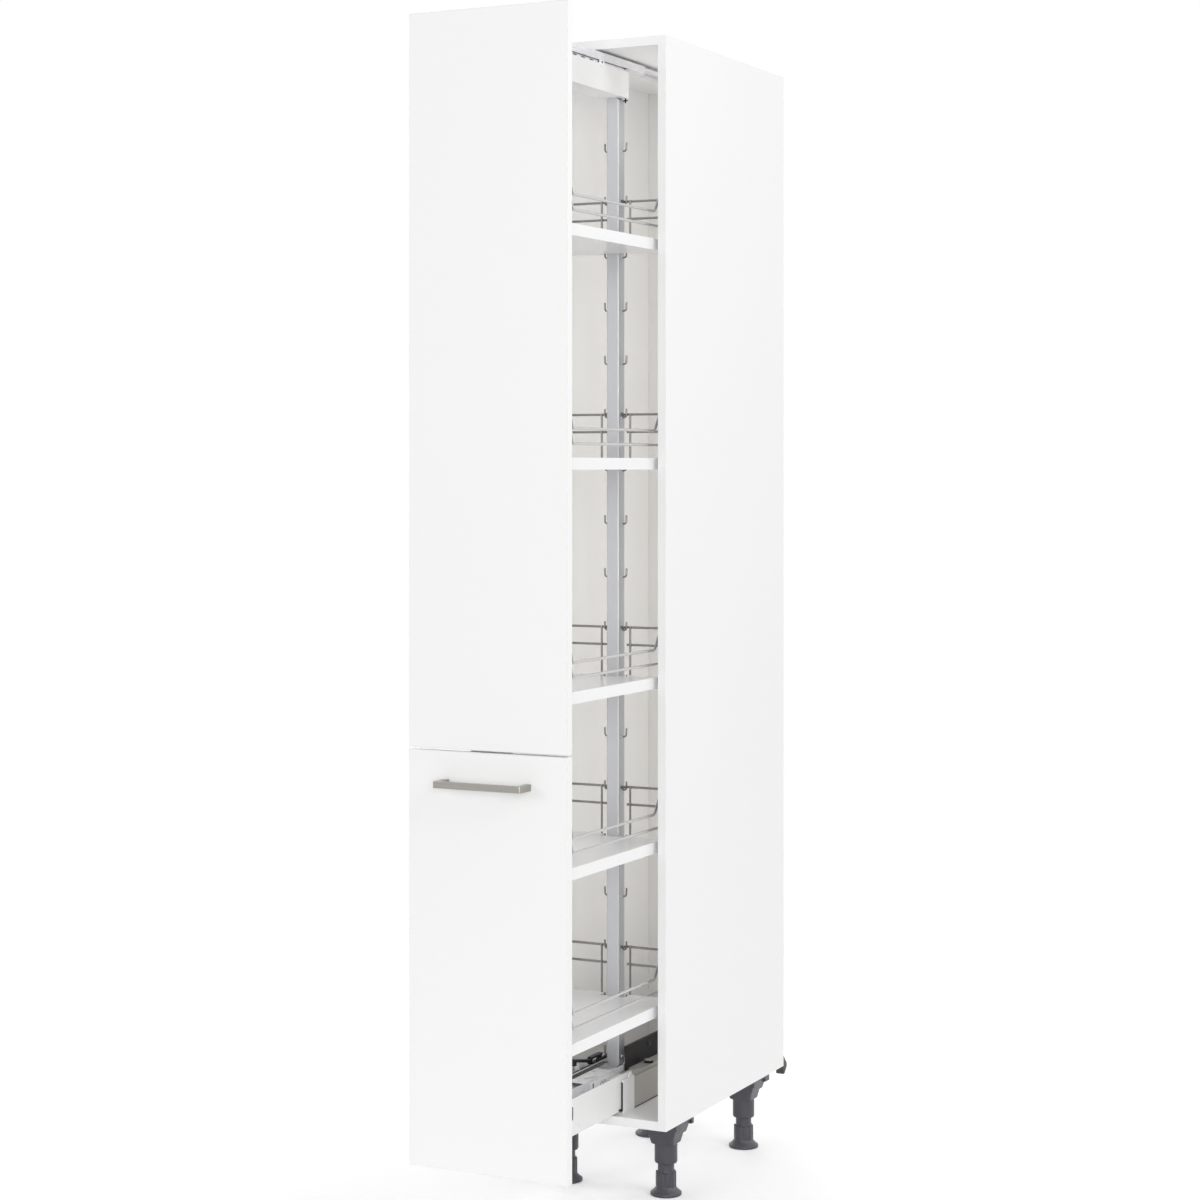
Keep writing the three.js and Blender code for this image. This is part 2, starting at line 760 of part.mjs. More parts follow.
// An H section with lips: its upper chamber hangs on the fixed rail, its lower one carries the beam.
function topMidRail() {
  const [y0, y1] = [topMidStart, topMidStart + topMidLength];
  const wall = railHalf - sheet / 2;
  const side = alongY(bentSheet([
    [slotHalf, topMidTop - sheet / 2], [wall, topMidTop - sheet / 2],
    [wall, topMidBottom + sheet / 2], [slotHalf, topMidBottom + sheet / 2],
  ]), y0, y1);
  const web = block(-wall, wall, y0, y1, topMidWeb - sheet / 2, topMidWeb + sheet / 2);
  const round = roundRect(-railHalf, railHalf, y0 - railHalf, y1, railHalf / 2);
  return join([web, ...mirroredPair(side)]).intersect(alongZ(round, topMidBottom - 1, topMidTop + 1));
}

function topBeam() {
  const headZ = topMidWeb - sheet - glideGap;
  const edgeZ = topMidBottom + sheet + glideGap;
  const floor = beamCoverBottom + beamCoverWall + sheet / 2;
  const rail = alongY(headedSection(floor, headZ, edgeZ), frontBack, beamLength);
  const plate = block(-beamCoverHalf, beamCoverHalf, frontBack, bracketFace,
    beamCoverBottom, beamCoverTop);
  return rail.add(plate);
}

// The plan of the beam cover: straight sides and a half-round rear end.
function coverPlan(half, y0) {
  const shape = new THREE.Shape();
  shape.moveTo(-half, y0);
  shape.lineTo(half, y0);
  shape.lineTo(half, rearPostDepth);
  shape.absarc(0, rearPostDepth, half, 0, Math.PI);
  return shape;
}

function topBeamCover() {
  const trough = alongZ(coverPlan(beamCoverHalf, bracketFace), beamCoverBottom, beamCoverTop, 8);
  const lidStart = beamLength + 2;
  const hollow = alongZ(coverPlan(beamCoverHalf - beamCoverWall, bracketFace - 1),
    beamCoverBottom + beamCoverWall, beamCoverTop + 1, 8);
  const lid = alongZ(coverPlan(beamCoverHalf - 0.5, lidStart),
    beamCoverTop - beamCoverWall, beamCoverTop, 8);
  const hole = cylinder(lidHole, beamCoverTop - beamCoverWall - 1, beamCoverTop + 1, 16)
    .translate([0, rearPostDepth + 8, 0]);
  return trough.subtract(hollow).add(lid).subtract(hole);
}

// ---------------------------------------------------------------- hook ladder posts

// One J hook on the +X side: out of the post, round the bush seat and up to its tip.
function postHook() {
  const lead = 1;
  const curl = bushX + bushSeat;
  return wire([
    [postHalf - lead, 0, 0], [curl, 0, 0], [curl + 0.4, 0, hookRise],
  ], hookWire, [bushSeat], 5, 2);
}

function hookPost() {
  const outer = roundRect(-postHalf, postHalf, -postHalf, postHalf, postCorner);
  const inner = postHalf - postWall;
  outer.holes.push(roundRect(-inner, inner, -inner, inner, postCorner - postWall / 2));
  const tube = alongZ(outer, postBottom, postTop, 2);
  const ends = alongY(
    roundRect(-postHalf, postHalf, postBottom, postTop, postEndRound), -postSize, postSize, 3);
  const hook = postHook();
  const hooks = [];
  for (let row = 0; row < hookRows; row += 1) {
    const raised = hook.translate([0, 0, hookHeight(row)]);
    hooks.push(raised, mirrorX(raised));
  }
  return join([tube.intersect(ends), ...hooks]);
}

// ---------------------------------------------------------------- trays

const trayFront = frontPostDepth - galleryPlane;
const trayRear = rearPostDepth + galleryPlane;

// Board and raised side rims in one moulding, notched round both posts and their hooks.
function trayBase() {
  const [y0, y1] = [trayFront - boardOverhang, trayRear + boardOverhang];
  const half = trayWidth / 2;
  const rim = alongX(roundRect(y0, y1, -rimHeight, 0, rimEndRound), half - rimThickness, half, 2);
  const plate = block(-half + 1, half - 1, y0, y1, boardTop - trayBoard, boardTop);
  const notch = (a, b) => block(-notchHalf, notchHalf, a, b, -rimHeight, 1);
  const gap = postHalf + notchClearance;
  return join([plate, ...mirroredPair(rim)])
    .subtract(notch(y0 - 1, frontPostDepth + gap))
    .subtract(notch(rearPostDepth - gap, y1 + 1));
}

// One end of a side rail: along the end gallery, round the corner and down to its level run.
function railEnd(sideZ, endZ, inset, angle, endPoints) {
  const side = trayWidth / 2 - rimThickness / 2;
  const climb = (endZ - sideZ) / Math.tan(THREE.MathUtils.degToRad(angle));
  return [
    ...endPoints,
    [side, trayRear, endZ],
    [side, trayRear - inset + climb, endZ],
    [side, trayRear - inset, sideZ],
  ];
}

// A side rail that runs level, climbs near each end and returns along the two end galleries.
function galleryRail(sideZ, endZ, rearInset, endPoints, bends) {
  const middle = trayFront + trayRear;
  const rear = railEnd(sideZ, endZ, rearInset, rearSlopeAngle, endPoints);
  const front = railEnd(sideZ, endZ, frontInset, frontSlopeAngle, endPoints)
    .map(([x, y, z]) => [x, middle - y, z]).reverse();
  return wire([...rear, ...front], railWire, [...bends, ...[...bends].reverse()]);
}

// The right-hand gallery: two bent rails, an upright at each end and the bushes in the hooks.
function gallery() {
  const bushEnd = rearPostDepth - bushLength + hookWire / 2 - hookSeatGap;
  const bushBend = 3;
  const slopeBend = 5;
  const top = galleryRail(sideTopRail, endTopRail, rearTopInset,
    [[bushX, bushEnd, endTopRail], [bushX, trayRear, endTopRail]],
    [bushBend, cornerBend, slopeBend, slopeBend]);
  const low = galleryRail(sideLowRail, endLowRail, rearLowInset,
    [[lowRailStart, trayRear, endLowRail]], [cornerBend, slopeBend, slopeBend]);
  const setback = (railWire + uprightWire) / 2 - weldDepth;
  const ends = [trayFront + setback, trayRear - setback].map((y) => wire(
    [[uprightOffset, y, boardTop], [uprightOffset, y, endTopRail + uprightWire / 2]],
    uprightWire, []));
  const bush = cylinderAlongY(bushRadius, bushEnd, bushEnd + bushLength, bushX, endTopRail, 8);
  const middle = trayFront + trayRear;
  const frontBush = bush.mirror([0, 1, 0]).translate([0, middle, 0]);
  return join([top, low, ...ends, bush, frontBush]);
}

// The hook rows that carry a tray, from the floor up: stepped down from the top row for as long
// as the tray clears the runner.
function trayRows() {
  const rows = [hookRows - 1 - trayTopRow];
  trayRowSteps.forEach((step) => rows.unshift(rows[0] - step));
  return rows.filter((row) => hookHeight(row) + trayLift - rimHeight > damperTop);
}

function trays() {
  const base = trayBase();
  const right = gallery();
  const left = mirrorX(right);
  return trayRows().map((row, i) => {
    const tray = new THREE.Group();
    tray.add(
      piece(`tray_${i + 1}_base`, base, 'trayWhite'),
      piece(`tray_${i + 1}_gallery_right`, right, 'chromeWire'),
      piece(`tray_${i + 1}_gallery_left`, left, 'chromeWire'),
    );
    tray.position.z = hookHeight(row) + trayLift;
    return tray;
  });
}

// ---------------------------------------------------------------- fronts, handle and brackets

function front(z0, z1) {
  const half = cabinetWidth / 2 - sideReveal;
  return block(-half, half, frontFace, frontBack, z0, z1);
}

function lowerFront() {
  const hole = cylinderAlongY(screwRadius + screwClearance, frontFace - 1, frontBack + 1,
    handleFoot, handleZ, 12);
  return mirroredPair(hole).reduce((panel, cut) => panel.subtract(cut), front(0, lowerFrontHeight));
}

// A flat bow: a bar with square feet, round at its outer corners, tapped for the screws.
function handle() {
  const [outer, reach] = [handleLength / 2, frontFace - handleReach];
  const shape = new THREE.Shape();
  shape.moveTo(-outer, frontFace);
  shape.lineTo(-outer, reach + handleCorner);
  shape.absarc(-outer + handleCorner, reach + handleCorner, handleCorner, Math.PI, Math.PI * 1.5);
  shape.lineTo(outer - handleCorner, reach);
  shape.absarc(outer - handleCorner, reach + handleCorner, handleCorner, -Math.PI / 2, 0);
  shape.lineTo(outer, frontFace);
  shape.lineTo(outer - handleFootWidth, frontFace);
  shape.lineTo(outer - handleFootWidth, reach + handleBar);
  shape.lineTo(-outer + handleFootWidth, reach + handleBar);
  shape.lineTo(-outer + handleFootWidth, frontFace);
  const body = alongZ(shape, handleZ - handleHeight / 2, handleZ + handleHeight / 2, 3);
  const tapping = cylinderAlongY(screwRadius + screwClearance, frontFace - screwBite - 1,
    frontFace + 1, handleFoot, handleZ, 12);
  return mirroredPair(tapping).reduce((bow, cut) => bow.subtract(cut), body);
}

function handleScrew() {
  const shank = cylinderAlongY(screwRadius, frontFace - screwBite, frontBack + 0.5,
    handleFoot, handleZ, 10);
  const head = cylinderAlongY(screwHeadRadius, frontBack, frontBack + screwHeadHeight,
    handleFoot, handleZ, 14);
  return shank.add(head);
}

// A plate on the back of the front with two lugs that clasp the front post.
function postBracket(z) {
  const [z0, z1] = [z - postBracketHeight / 2, z + postBracketHeight / 2];
  const postFace = frontPostDepth - postHalf;
  const plate = block(-bracketHalf, bracketHalf, frontBack, bracketFace, z0, z1);
  const [low, high] = [z0 + postBracketLug, z1 - postBracketLug];
  const lugs = alongX(outline([
    [frontBack, z0 + postBracketSlope], [postFace, low], [postFace, high],
    [frontBack, z1 - postBracketSlope],
  ]), postHalf - bracketPlate, postHalf);
  const pad = block(-postHalf, postHalf, postFace - bracketPlate, postFace, low, high);
  return join([plate, pad, ...mirroredPair(lugs)]);
}

// The plate that ties the moving rail, the closing bar and both side covers to the lower front.
function baseBracket() {
  const half = coverHalf - sheet;
  const ear = block(half - bracketPlate, half, frontBack, bracketFace + baseBracketEar,
    coverBottom + baseBracketMargin, coverTop - baseBracketMargin);
  const plate = block(-half, half, frontBack, bracketFace, coverBottom, movingRailTop);
  return join([plate, ...mirroredPair(ear)]);
}

function pullOut() {
  const frame = new THREE.Group();
  const [postA, postB] = ['front_post', 'rear_post'].map((name) => piece(name, hookPost(), 'postSteel'));
  postA.position.y = frontPostDepth;
  postB.position.y = rearPostDepth;
  const brackets = Object.entries({
    lower: postBottom + lowerBracketRise, middle: seamHeight, upper: postTop - upperBracketDrop,
  }).map(([place, z]) => piece(`post_bracket_${place}`, postBracket(z), 'zincSteel'));
  frame.add(
    piece('upper_front', front(lowerFrontHeight + seamGap, cabinetHeight), 'whiteBoard'),
    piece('lower_front', lowerFront(), 'whiteBoard'),
    piece('handle', handle(), 'brushedNickel'),
    piece('handle_screw_right', handleScrew(), 'zincSteel'),
    piece('handle_screw_left', mirrorX(handleScrew()), 'zincSteel'),
    postA,
    postB,
    piece('bottom_moving_rail', bottomMovingRail(), 'zincSteel'),
    piece('side_cover_right', sideCover(), 'whiteSteel'),
    piece('side_cover_left', mirrorX(sideCover()), 'whiteSteel'),
    piece('closing_bar', closingBar(), 'blackPlastic'),
    piece('top_beam', topBeam(), 'zincSteel'),
    piece('top_beam_cover', topBeamCover(), 'whitePlastic'),
    piece('base_bracket', baseBracket(), 'zincSteel'),
    ...brackets,
    ...trays(),
  );
  frame.position.y = -shownExtension;
  return frame;
}

// ---------------------------------------------------------------- assembly

function middleMembers() {
  const group = new THREE.Group();
  group.add(
    piece('bottom_mid_rail', bottomMidRail(), 'zincSteel'),
    piece('top_mid_rail', topMidRail(), 'zincSteel'),
  );
  group.position.y = -shownExtension / 2;
  return group;
}

const larder = new THREE.Group();
larder.add(
  ...carcass(),
  ...legs(),
  piece('runner_housing', runnerHousing(), 'greySteel'),
  piece('runner_collar', runnerCollar(), 'whitePlastic'),
  piece('bottom_fixed_rail', bottomFixedRail(), 'zincSteel'),
  piece('damper_channel', damperChannel(), 'blackPlastic'),
  piece('catch_block', catchBlock(), 'zincSteel'),
  piece('catch_rocker', catchRocker(), 'blackPlastic'),
  piece('top_fixed_rail', topFixedRail(), 'zincSteel'),
  middleMembers(),
  pullOut(),
);

// The origin is on the floor, under the middle of the whole unit.
const frontMost = frontFace - handleReach - shownExtension;
const rearMost = cabinetDepth + spacerReach;
larder.position.set(0, -(frontMost + rearMost) / 2, legHeight);

const unit = new THREE.Group();
unit.add(larder);

export default unit;
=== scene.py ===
"""Pull-out larder unit: its looks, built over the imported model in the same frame.

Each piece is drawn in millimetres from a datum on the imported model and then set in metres.
"""

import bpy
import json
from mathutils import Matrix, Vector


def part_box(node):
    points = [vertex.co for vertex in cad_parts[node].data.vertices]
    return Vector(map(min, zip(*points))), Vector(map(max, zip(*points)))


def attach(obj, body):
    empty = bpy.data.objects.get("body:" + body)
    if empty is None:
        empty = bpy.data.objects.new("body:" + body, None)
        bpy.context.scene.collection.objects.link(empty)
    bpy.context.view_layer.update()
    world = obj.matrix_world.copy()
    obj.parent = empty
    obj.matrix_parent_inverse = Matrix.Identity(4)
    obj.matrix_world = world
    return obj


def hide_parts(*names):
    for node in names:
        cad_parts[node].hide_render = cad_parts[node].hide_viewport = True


bl_info = {
    "name": "Pull-out larder unit",
    "version": (1, 0, 0),
    "blender": (4, 5, 0),
    "location": "View3D > Sidebar > Larder",
    "description": "Builds the pieces, the finishes and the stage of a pull-out larder unit",
    "category": "Object",
}

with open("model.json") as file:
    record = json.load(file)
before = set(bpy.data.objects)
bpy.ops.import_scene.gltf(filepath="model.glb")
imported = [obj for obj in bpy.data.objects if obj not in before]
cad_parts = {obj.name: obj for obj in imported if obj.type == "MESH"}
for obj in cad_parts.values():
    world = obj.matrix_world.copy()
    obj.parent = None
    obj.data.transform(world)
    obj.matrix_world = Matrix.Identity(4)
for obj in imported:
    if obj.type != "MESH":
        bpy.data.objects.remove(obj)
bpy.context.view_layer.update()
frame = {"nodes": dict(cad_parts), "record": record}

import json
import math

import bmesh
import bpy
from bpy.props import FloatProperty, FloatVectorProperty, IntProperty, PointerProperty
from mathutils import Matrix, Vector
from mathutils.geometry import tessellate_polygon

MM = 0.001

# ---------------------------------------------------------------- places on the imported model

# CABINET is the middle of the carcass's front edge at its underside, PULLOUT the same place on
# the frame that is pulled out. Both are in metres, and all that is drawn from them is in
# millimetres.
CLOSED_GAP = 3.0
side_low, side_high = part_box("side_right")
lower_front_low, lower_front_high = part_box("lower_front")
CABINET = Vector((0.0, side_low.y, side_low.z))
PULLOUT = Vector((0.0, lower_front_high.y + CLOSED_GAP * MM, lower_front_low.z))
OUTER = side_high.x / MM
INNER = side_low.x / MM
DEPTH = (side_high.y - side_low.y) / MM
HEIGHT = (side_high.z - side_low.z) / MM
BOARD = OUTER - INNER


def node_box(node, datum):
    """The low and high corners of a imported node, in millimetres from a datum."""
    return [Vector([round(value / MM, 2) for value in corner - datum]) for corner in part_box(node)]


# The back panel's groove: its play on each face of the panel, and its depth.
GROOVE_PLAY = 0.25
GROOVE_DEPTH = 6.0

# Posts and their hooks, from the pull-out's datum.
post_low, post_high = node_box("front_post", PULLOUT)
rear_post_low, rear_post_high = node_box("rear_post", PULLOUT)
FRONT_POST_Y = (post_low.y + post_high.y) / 2
REAR_POST_Y = (rear_post_low.y + rear_post_high.y) / 2
POST_HALF = (post_high.y - post_low.y) / 2
POST_WALL = 1.5
POST_END_ROUND = 8.0
FIRST_HOOK = 96.2
HOOK_PITCH = 96.0
TOP_CLEARANCE = 60.0
HOOK_RISE = 16.0
HOOK_CURL = 21.35
HOOK_BEND = 5.3

# Trays and galleries. Heights are taken from the top of a tray's rim, and the climbs of the rails
# are in degrees. A board reaches past the wires at its ends.
tray_low, tray_high = node_box("tray_1_base", PULLOUT)
BOARD_REACH = 3
TRAY_HALF = tray_high.x
TRAY_FRONT = tray_low.y + BOARD_REACH
TRAY_REAR = tray_high.y - BOARD_REACH
RIM_HEIGHT = tray_high.z - tray_low.z
RIM_THICKNESS = 5
BOARD_TOP = -8.25
BOARD_THICKNESS = 7
RAIL_INSET = 2.5
HOOK_LEVEL = 79
TOP_RAIL_LEVEL = 48
LOW_END_LEVEL = 47.5
LOW_RAIL_LEVEL = 23
BUSH_X = 16.05
BUSH_END = 454.45
BUSH_LENGTH = 7.0
LOW_START_X = 22
FRONT_INSET = 24.0
TOP_INSET = 100
LOW_INSET = 80
FRONT_CLIMB = 75
REAR_CLIMB = 55
UPRIGHT_X = 28.6
UPRIGHT_SETBACK = 3.5

# The boss of the runner's housing, and the top of the damper channel's far wall.
BOSS = (42, 158)
FAR_WALL_TOP = 88

TRAYS = (1, 2, 3, 4, 5)
CORNERS = ("front_left", "front_right", "rear_left", "rear_right")
SIDES = (("right", 1), ("left", -1))
SIGNS = (1, -1)


def tray_datum(number):
    """The top of a tray's rim, above the pull-out's own datum."""
    return Vector((0.0, PULLOUT.y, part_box(f"tray_{number}_base")[1].z))


# ---------------------------------------------------------------- what a user may change


def size_property(name, description, default, low, high):
    """A length that the pieces read."""
    return FloatProperty(
        name=name, description=description, default=default, min=low, max=high,
        unit="LENGTH", subtype="DISTANCE")


class LarderSizes(bpy.types.PropertyGroup):
    """Sizes of edges, wires and details."""

    board_edge: size_property(
        "Board edge", "Rounding of the boards' edge bands", 0.0007, 0.0001, 0.0009)
    band_thickness: size_property(
        "Edge band", "Thickness of the edge bands", 0.001, 0.0004, 0.002)
    sheet_edge: size_property(
        "Sheet edge", "Rounding of cut and bent sheet metal", 0.0003, 0.0001, 0.0006)
    moulded_edge: size_property(
        "Moulded edge", "Rounding of moulded plastic edges", 0.0006, 0.0001, 0.001)
    rail_wire: size_property(
        "Gallery rail wire", "Diameter of the gallery rails", 0.005, 0.003, 0.006)
    upright_wire: size_property(
        "Gallery upright wire", "Diameter of the gallery uprights", 0.004, 0.003, 0.005)
    hook_wire: size_property(
        "Hook wire", "Diameter of the hooks of the posts", 0.0035, 0.002, 0.004)
    post_corner: size_property(
        "Post corner", "Corner radius of the post tubes", 0.003, 0.001, 0.005)
    wire_sides: IntProperty(
        name="Wire sides", description="Faces round each wire", default=12, min=8, max=24)
    turned_sides: IntProperty(
        name="Turned sides", description="Faces round the boss, the knobs and the glide",
        default=48, min=24, max=96)


def colour_property(name, description, default):
    """A linear colour that the finishes read."""
    return FloatVectorProperty(
        name=name, description=description, default=default, size=3, min=0.0, max=1.0,
        subtype="COLOR")


class LarderColours(bpy.types.PropertyGroup):
    """Colours of the finishes."""

    white_board: colour_property(
        "White board", "Melamine face of boards and fronts", (0.9, 0.9, 0.9))
    back_board: colour_property(
        "Back board", "Lacquered face of the thin back panel", (0.86, 0.855, 0.84))
    tray_white: colour_property("Tray board", "Coated tray boards", (0.9, 0.9, 0.905))
    dark_plastic: colour_property(
        "Dark plastic", "Levelling legs and the damper's bolt", (0.07, 0.068, 0.083))
    brown_plastic: colour_property("Spacer plastic", "Rear spacers", (0.085, 0.07, 0.06))
    # Black plastic also paints shade: in the keyhole and loops of the runner clips, the collar's
    # slit, along the housing's foot and in the bores of the beam stops.
    black_plastic: colour_property(
        "Black plastic", "Damper, catch, slots and gaps", (0.014, 0.014, 0.016))
    white_plastic: colour_property(
        "White plastic", "Collar, beam cover and stops", (0.87, 0.87, 0.865))
    white_steel: colour_property(
        "White coat", "Side covers, runner plate and clips", (0.86, 0.86, 0.855))
    grey_steel: colour_property("Grey coat", "Housing of the bottom runner", (0.43, 0.42, 0.395))
    zinc_steel: colour_property("Zinc", "Plated rails and brackets", (0.83, 0.83, 0.85))
    post_steel: colour_property("Post lacquer", "Silver lacquer of the posts", (0.6, 0.605, 0.625))
    brushed_nickel: colour_property("Nickel", "Brushed handle", (0.37, 0.35, 0.325))
    # The chrome is dark as painted shade of the dark surroundings its wires mirror, and its finish
    # paints lighter edges on it as a painted reflection.
    chrome_wire: colour_property("Chrome", "Plated wires", (0.2, 0.195, 0.185))
    floor: colour_property("Floor", "Pale floor under the unit", (0.82, 0.82, 0.82))


# ---------------------------------------------------------------- drawing tools


def axis_place(axis):
    """How a point of a section and its depth become x, y, z, for a section run along an axis."""
    return {
        "X": lambda a, b, c: (c, a, b),
        "Y": lambda a, b, c: (a, c, b),
        "Z": lambda a, b, c: (a, b, c),
    }[axis]


def rectangle(a0, a1, b0, b1):
    """Four corners of a section."""
    return [(a0, b0), (a1, b0), (a1, b1), (a0, b1)]


def rounded(points, radii, steps=6):
    """An outline whose corners are rounded, each to its own radius."""
    out = []
    count = len(points)
    for i, radius in enumerate(radii):
        corner = Vector(points[i])
        if not radius:
            out.append(tuple(corner))
            continue
        back = (Vector(points[i - 1]) - corner).normalized()
        on = (Vector(points[(i + 1) % count]) - corner).normalized()
        half_angle = back.angle(on) / 2
        reach = radius / math.tan(half_angle)
        centre = corner + (back + on).normalized() * (radius / math.sin(half_angle))
        start = corner + back * reach - centre
        sweep = math.pi - 2 * half_angle
        turn = 1 if back.x * on.y - back.y * on.x < 0 else -1
        for step in range(steps + 1):
            angle = turn * sweep * step / steps
            spot = centre + Matrix.Rotation(angle, 2) @ start
            out.append((spot.x, spot.y))
    return out


def rounded_square(half, radius):
    """A square section with round corners, about its middle."""
    return rounded(rectangle(-half, half, -half, half), [radius] * 4)


def span(sign, near, far):
    """A stretch on one side of the middle, its low end first."""
    return sorted((sign * near, sign * far))


def on_side(sign, path):
    """A path drawn for the right, set on the side of a sign."""
    return [(sign * x, y, z) for x, y, z in path]


def oblong(start, end, width, steps=8):
    """A slot with round ends between two centres."""
    a, b = Vector(start), Vector(end)
    along = (b - a).normalized()
    out = []
    for centre, heading in ((b, along), (a, -along)):
        for step in range(steps + 1):
            angle = math.pi * (step / steps - 0.5)
            spot = centre + Matrix.Rotation(angle, 2) @ heading * (width / 2)
            out.append((spot.x, spot.y))
    return out


def circle(centre, radius, segments=24):
    """A round outline."""
    return [
        (centre[0] + radius * math.cos(2 * math.pi * i / segments),
         centre[1] + radius * math.sin(2 * math.pi * i / segments))
        for i in range(segments)]


def bent_path(corners, bends, steps=6):
    """Corner points joined by straight runs and smooth bends."""
    points = [Vector(c) for c in corners]
    path = [points[0]]
    for i, bend in enumerate(bends, start=1):
        back = (points[i - 1] - points[i]).normalized() * bend
        on = (points[i + 1] - points[i]).normalized() * bend
        for step in range(steps + 1):
            t = step / steps
            path.append(points[i] + back * (1 - t) ** 2 + on * t ** 2)
    path.append(points[-1])
    return path


class Drawing:
    """A mesh being drawn for a body, in millimetres from a datum."""

    def __init__(self, body, datum=None):
        self.body = body
        self.datum = datum or (PULLOUT if body == "pullout_frame" else CABINET)
        self.mesh = bmesh.new()

    def corners(self, points):
        """A row of new corners."""
        return [self.mesh.verts.new(point) for point in points]

    def skin(self, low, high):
        """Faces between two closed rows of corners."""
        for i in range(len(low)):
            j = (i + 1) % len(low)
            self.mesh.faces.new((low[i], low[j], high[j], high[i]))

    def flat(self, corners, loops):
        """Faces over the corners of a flat outline and of the holes in it."""
        outlines = [[Vector((a, b, 0.0)) for a, b in loop] for loop in loops]
        for triangle in tessellate_polygon(outlines):
            self.mesh.faces.new([corners[i] for i in triangle])

    def loft(self, loops, end_cap=True, ring=False):
        """A skin over loops of equal count. With ring, the last loop joins the first."""
        rows = [self.corners(loop) for loop in loops]
        for low, high in zip(rows, rows[1:]):
            self.skin(low, high)
        if ring:
            self.skin(rows[-1], rows[0])
            return self
        self.mesh.faces.new(rows[0][::-1])
        if end_cap:
            self.mesh.faces.new(rows[-1])
        return self

    def prism(self, outline, low, high, axis="Z", holes=()):
        """A section run along an axis, with holes through it."""
        place = axis_place(axis)
        loops = [outline, *holes]
        ends = [[self.corners(place(a, b, depth) for a, b in loop) for loop in loops]
                for depth in (low, high)]
        for low_row, high_row in zip(*ends):
            self.skin(low_row, high_row)
        for rows in ends:
            if holes:
                self.flat(sum(rows, []), loops)
            else:
                self.mesh.faces.new(rows[0])
        return self

    def block(self, x0, x1, y0, y1, z0, z1):
        """A block between two corners."""
        return self.prism(rectangle(x0, x1, y0, y1), z0, z1)

    def both_sides(self, outline, near, far, holes=()):
        """A section run across, alike on both sides of the middle."""
        for sign in SIGNS:
            self.prism(outline, *span(sign, near, far), "X", holes)
        return self

    def turned(self, profile, centre=(0, 0, 0), axis="Z", segments=48, wave=None):
        """A profile of radius and height turned about an axis. A wave moves radius and height."""
        place = axis_place(axis)
        loops = []
        for row, (radius, height) in enumerate(profile):
            loop = []
            for i in range(segments):
                angle = 2 * math.pi * i / segments
                out, rise = wave(row, angle) if wave else (0.0, 0.0)
                spot = place(
                    (radius + out) * math.cos(angle), (radius + out) * math.sin(angle),
                    height + rise)
                loop.append(tuple(s + c for s, c in zip(spot, centre)))
            loops.append(loop)
        return self.loft(loops)

    def wire(self, path, radius, sides=12, start_tip=False, end_tip=False):
        """Round wire along a path. A tip rounds off an end that shows."""
        path = [Vector(p) for p in path]
        tangents = []
        for i in range(len(path)):
            before = path[max(i - 1, 0)]
            after = path[min(i + 1, len(path) - 1)]
            tangents.append((after - before).normalized())
        across = tangents[0].orthogonal().normalized()
        loops = []

        def loop_at(centre, tangent, size):
            other = tangent.cross(across)
            return [
                centre + size * (across * math.cos(2 * math.pi * k / sides)
                                 + other * math.sin(2 * math.pi * k / sides))
                for k in range(sides)]

        def tip(end, tangent, away):
            """Loops that close past an end of the wire."""
            return [
                loop_at(end + tangent * away * radius * math.sin(angle), tangent,
                        radius * math.cos(angle))
                for angle in (0.35, 0.7, 1.05, 1.35)]

        if start_tip:
            loops += reversed(tip(path[0], tangents[0], -1))
        for i, (centre, tangent) in enumerate(zip(path, tangents)):
            if i:
                across = tangents[i - 1].rotation_difference(tangent) @ across
                across = (across - tangent * across.dot(tangent)).normalized()
            loops.append(loop_at(centre, tangent, radius))
        if end_tip:
            loops += tip(path[-1], tangents[-1], 1)
        return self.loft(loops)

    def copy(self, node):
        """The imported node's own shape, its flat faces made whole again."""
        part = bmesh.new()
        part.from_mesh(frame["nodes"][node].data)
        bmesh.ops.remove_doubles(part, verts=part.verts, dist=0.01 * MM)
        bmesh.ops.dissolve_limit(
            part, angle_limit=math.radians(1), verts=part.verts, edges=part.edges)
        bmesh.ops.transform(
            part, verts=part.verts,
            matrix=Matrix.Scale(1 / MM, 4) @ Matrix.Translation(-self.datum))
        holder = bpy.data.meshes.new("holder")
        part.to_mesh(holder)
        part.free()
        self.mesh.from_mesh(holder)
        bpy.data.meshes.remove(holder)
        return self

    def soften(self, edge, segments=2, angle=35, among=None):
        """Rounds the sharp edges drawn so far, or only the long ones that join given corners."""
        bmesh.ops.recalc_face_normals(self.mesh, faces=self.mesh.faces)
        limit = math.radians(angle)
        sharp = [e for e in self.mesh.edges
                 if len(e.link_faces) == 2 and e.calc_face_angle(0.0) > limit]
        if among is not None:
            sharp = [e for e in sharp if among.issuperset(e.verts) and e.calc_length() > edge]
        bmesh.ops.bevel(
            self.mesh, geom=sharp, offset=edge, offset_type="OFFSET", segments=segments,
            profile=0.5, affect="EDGES", clamp_overlap=True)
        return self

    def screw(self, centre, axis="Y", away=1, radius=3.6, height=2.2):
        """A pan head with a cross recess, standing on its centre."""
        place = axis_place(axis)

        def spot(a, b, c):
            return tuple(p + q for p, q in zip(place(a, b, away * c), centre))

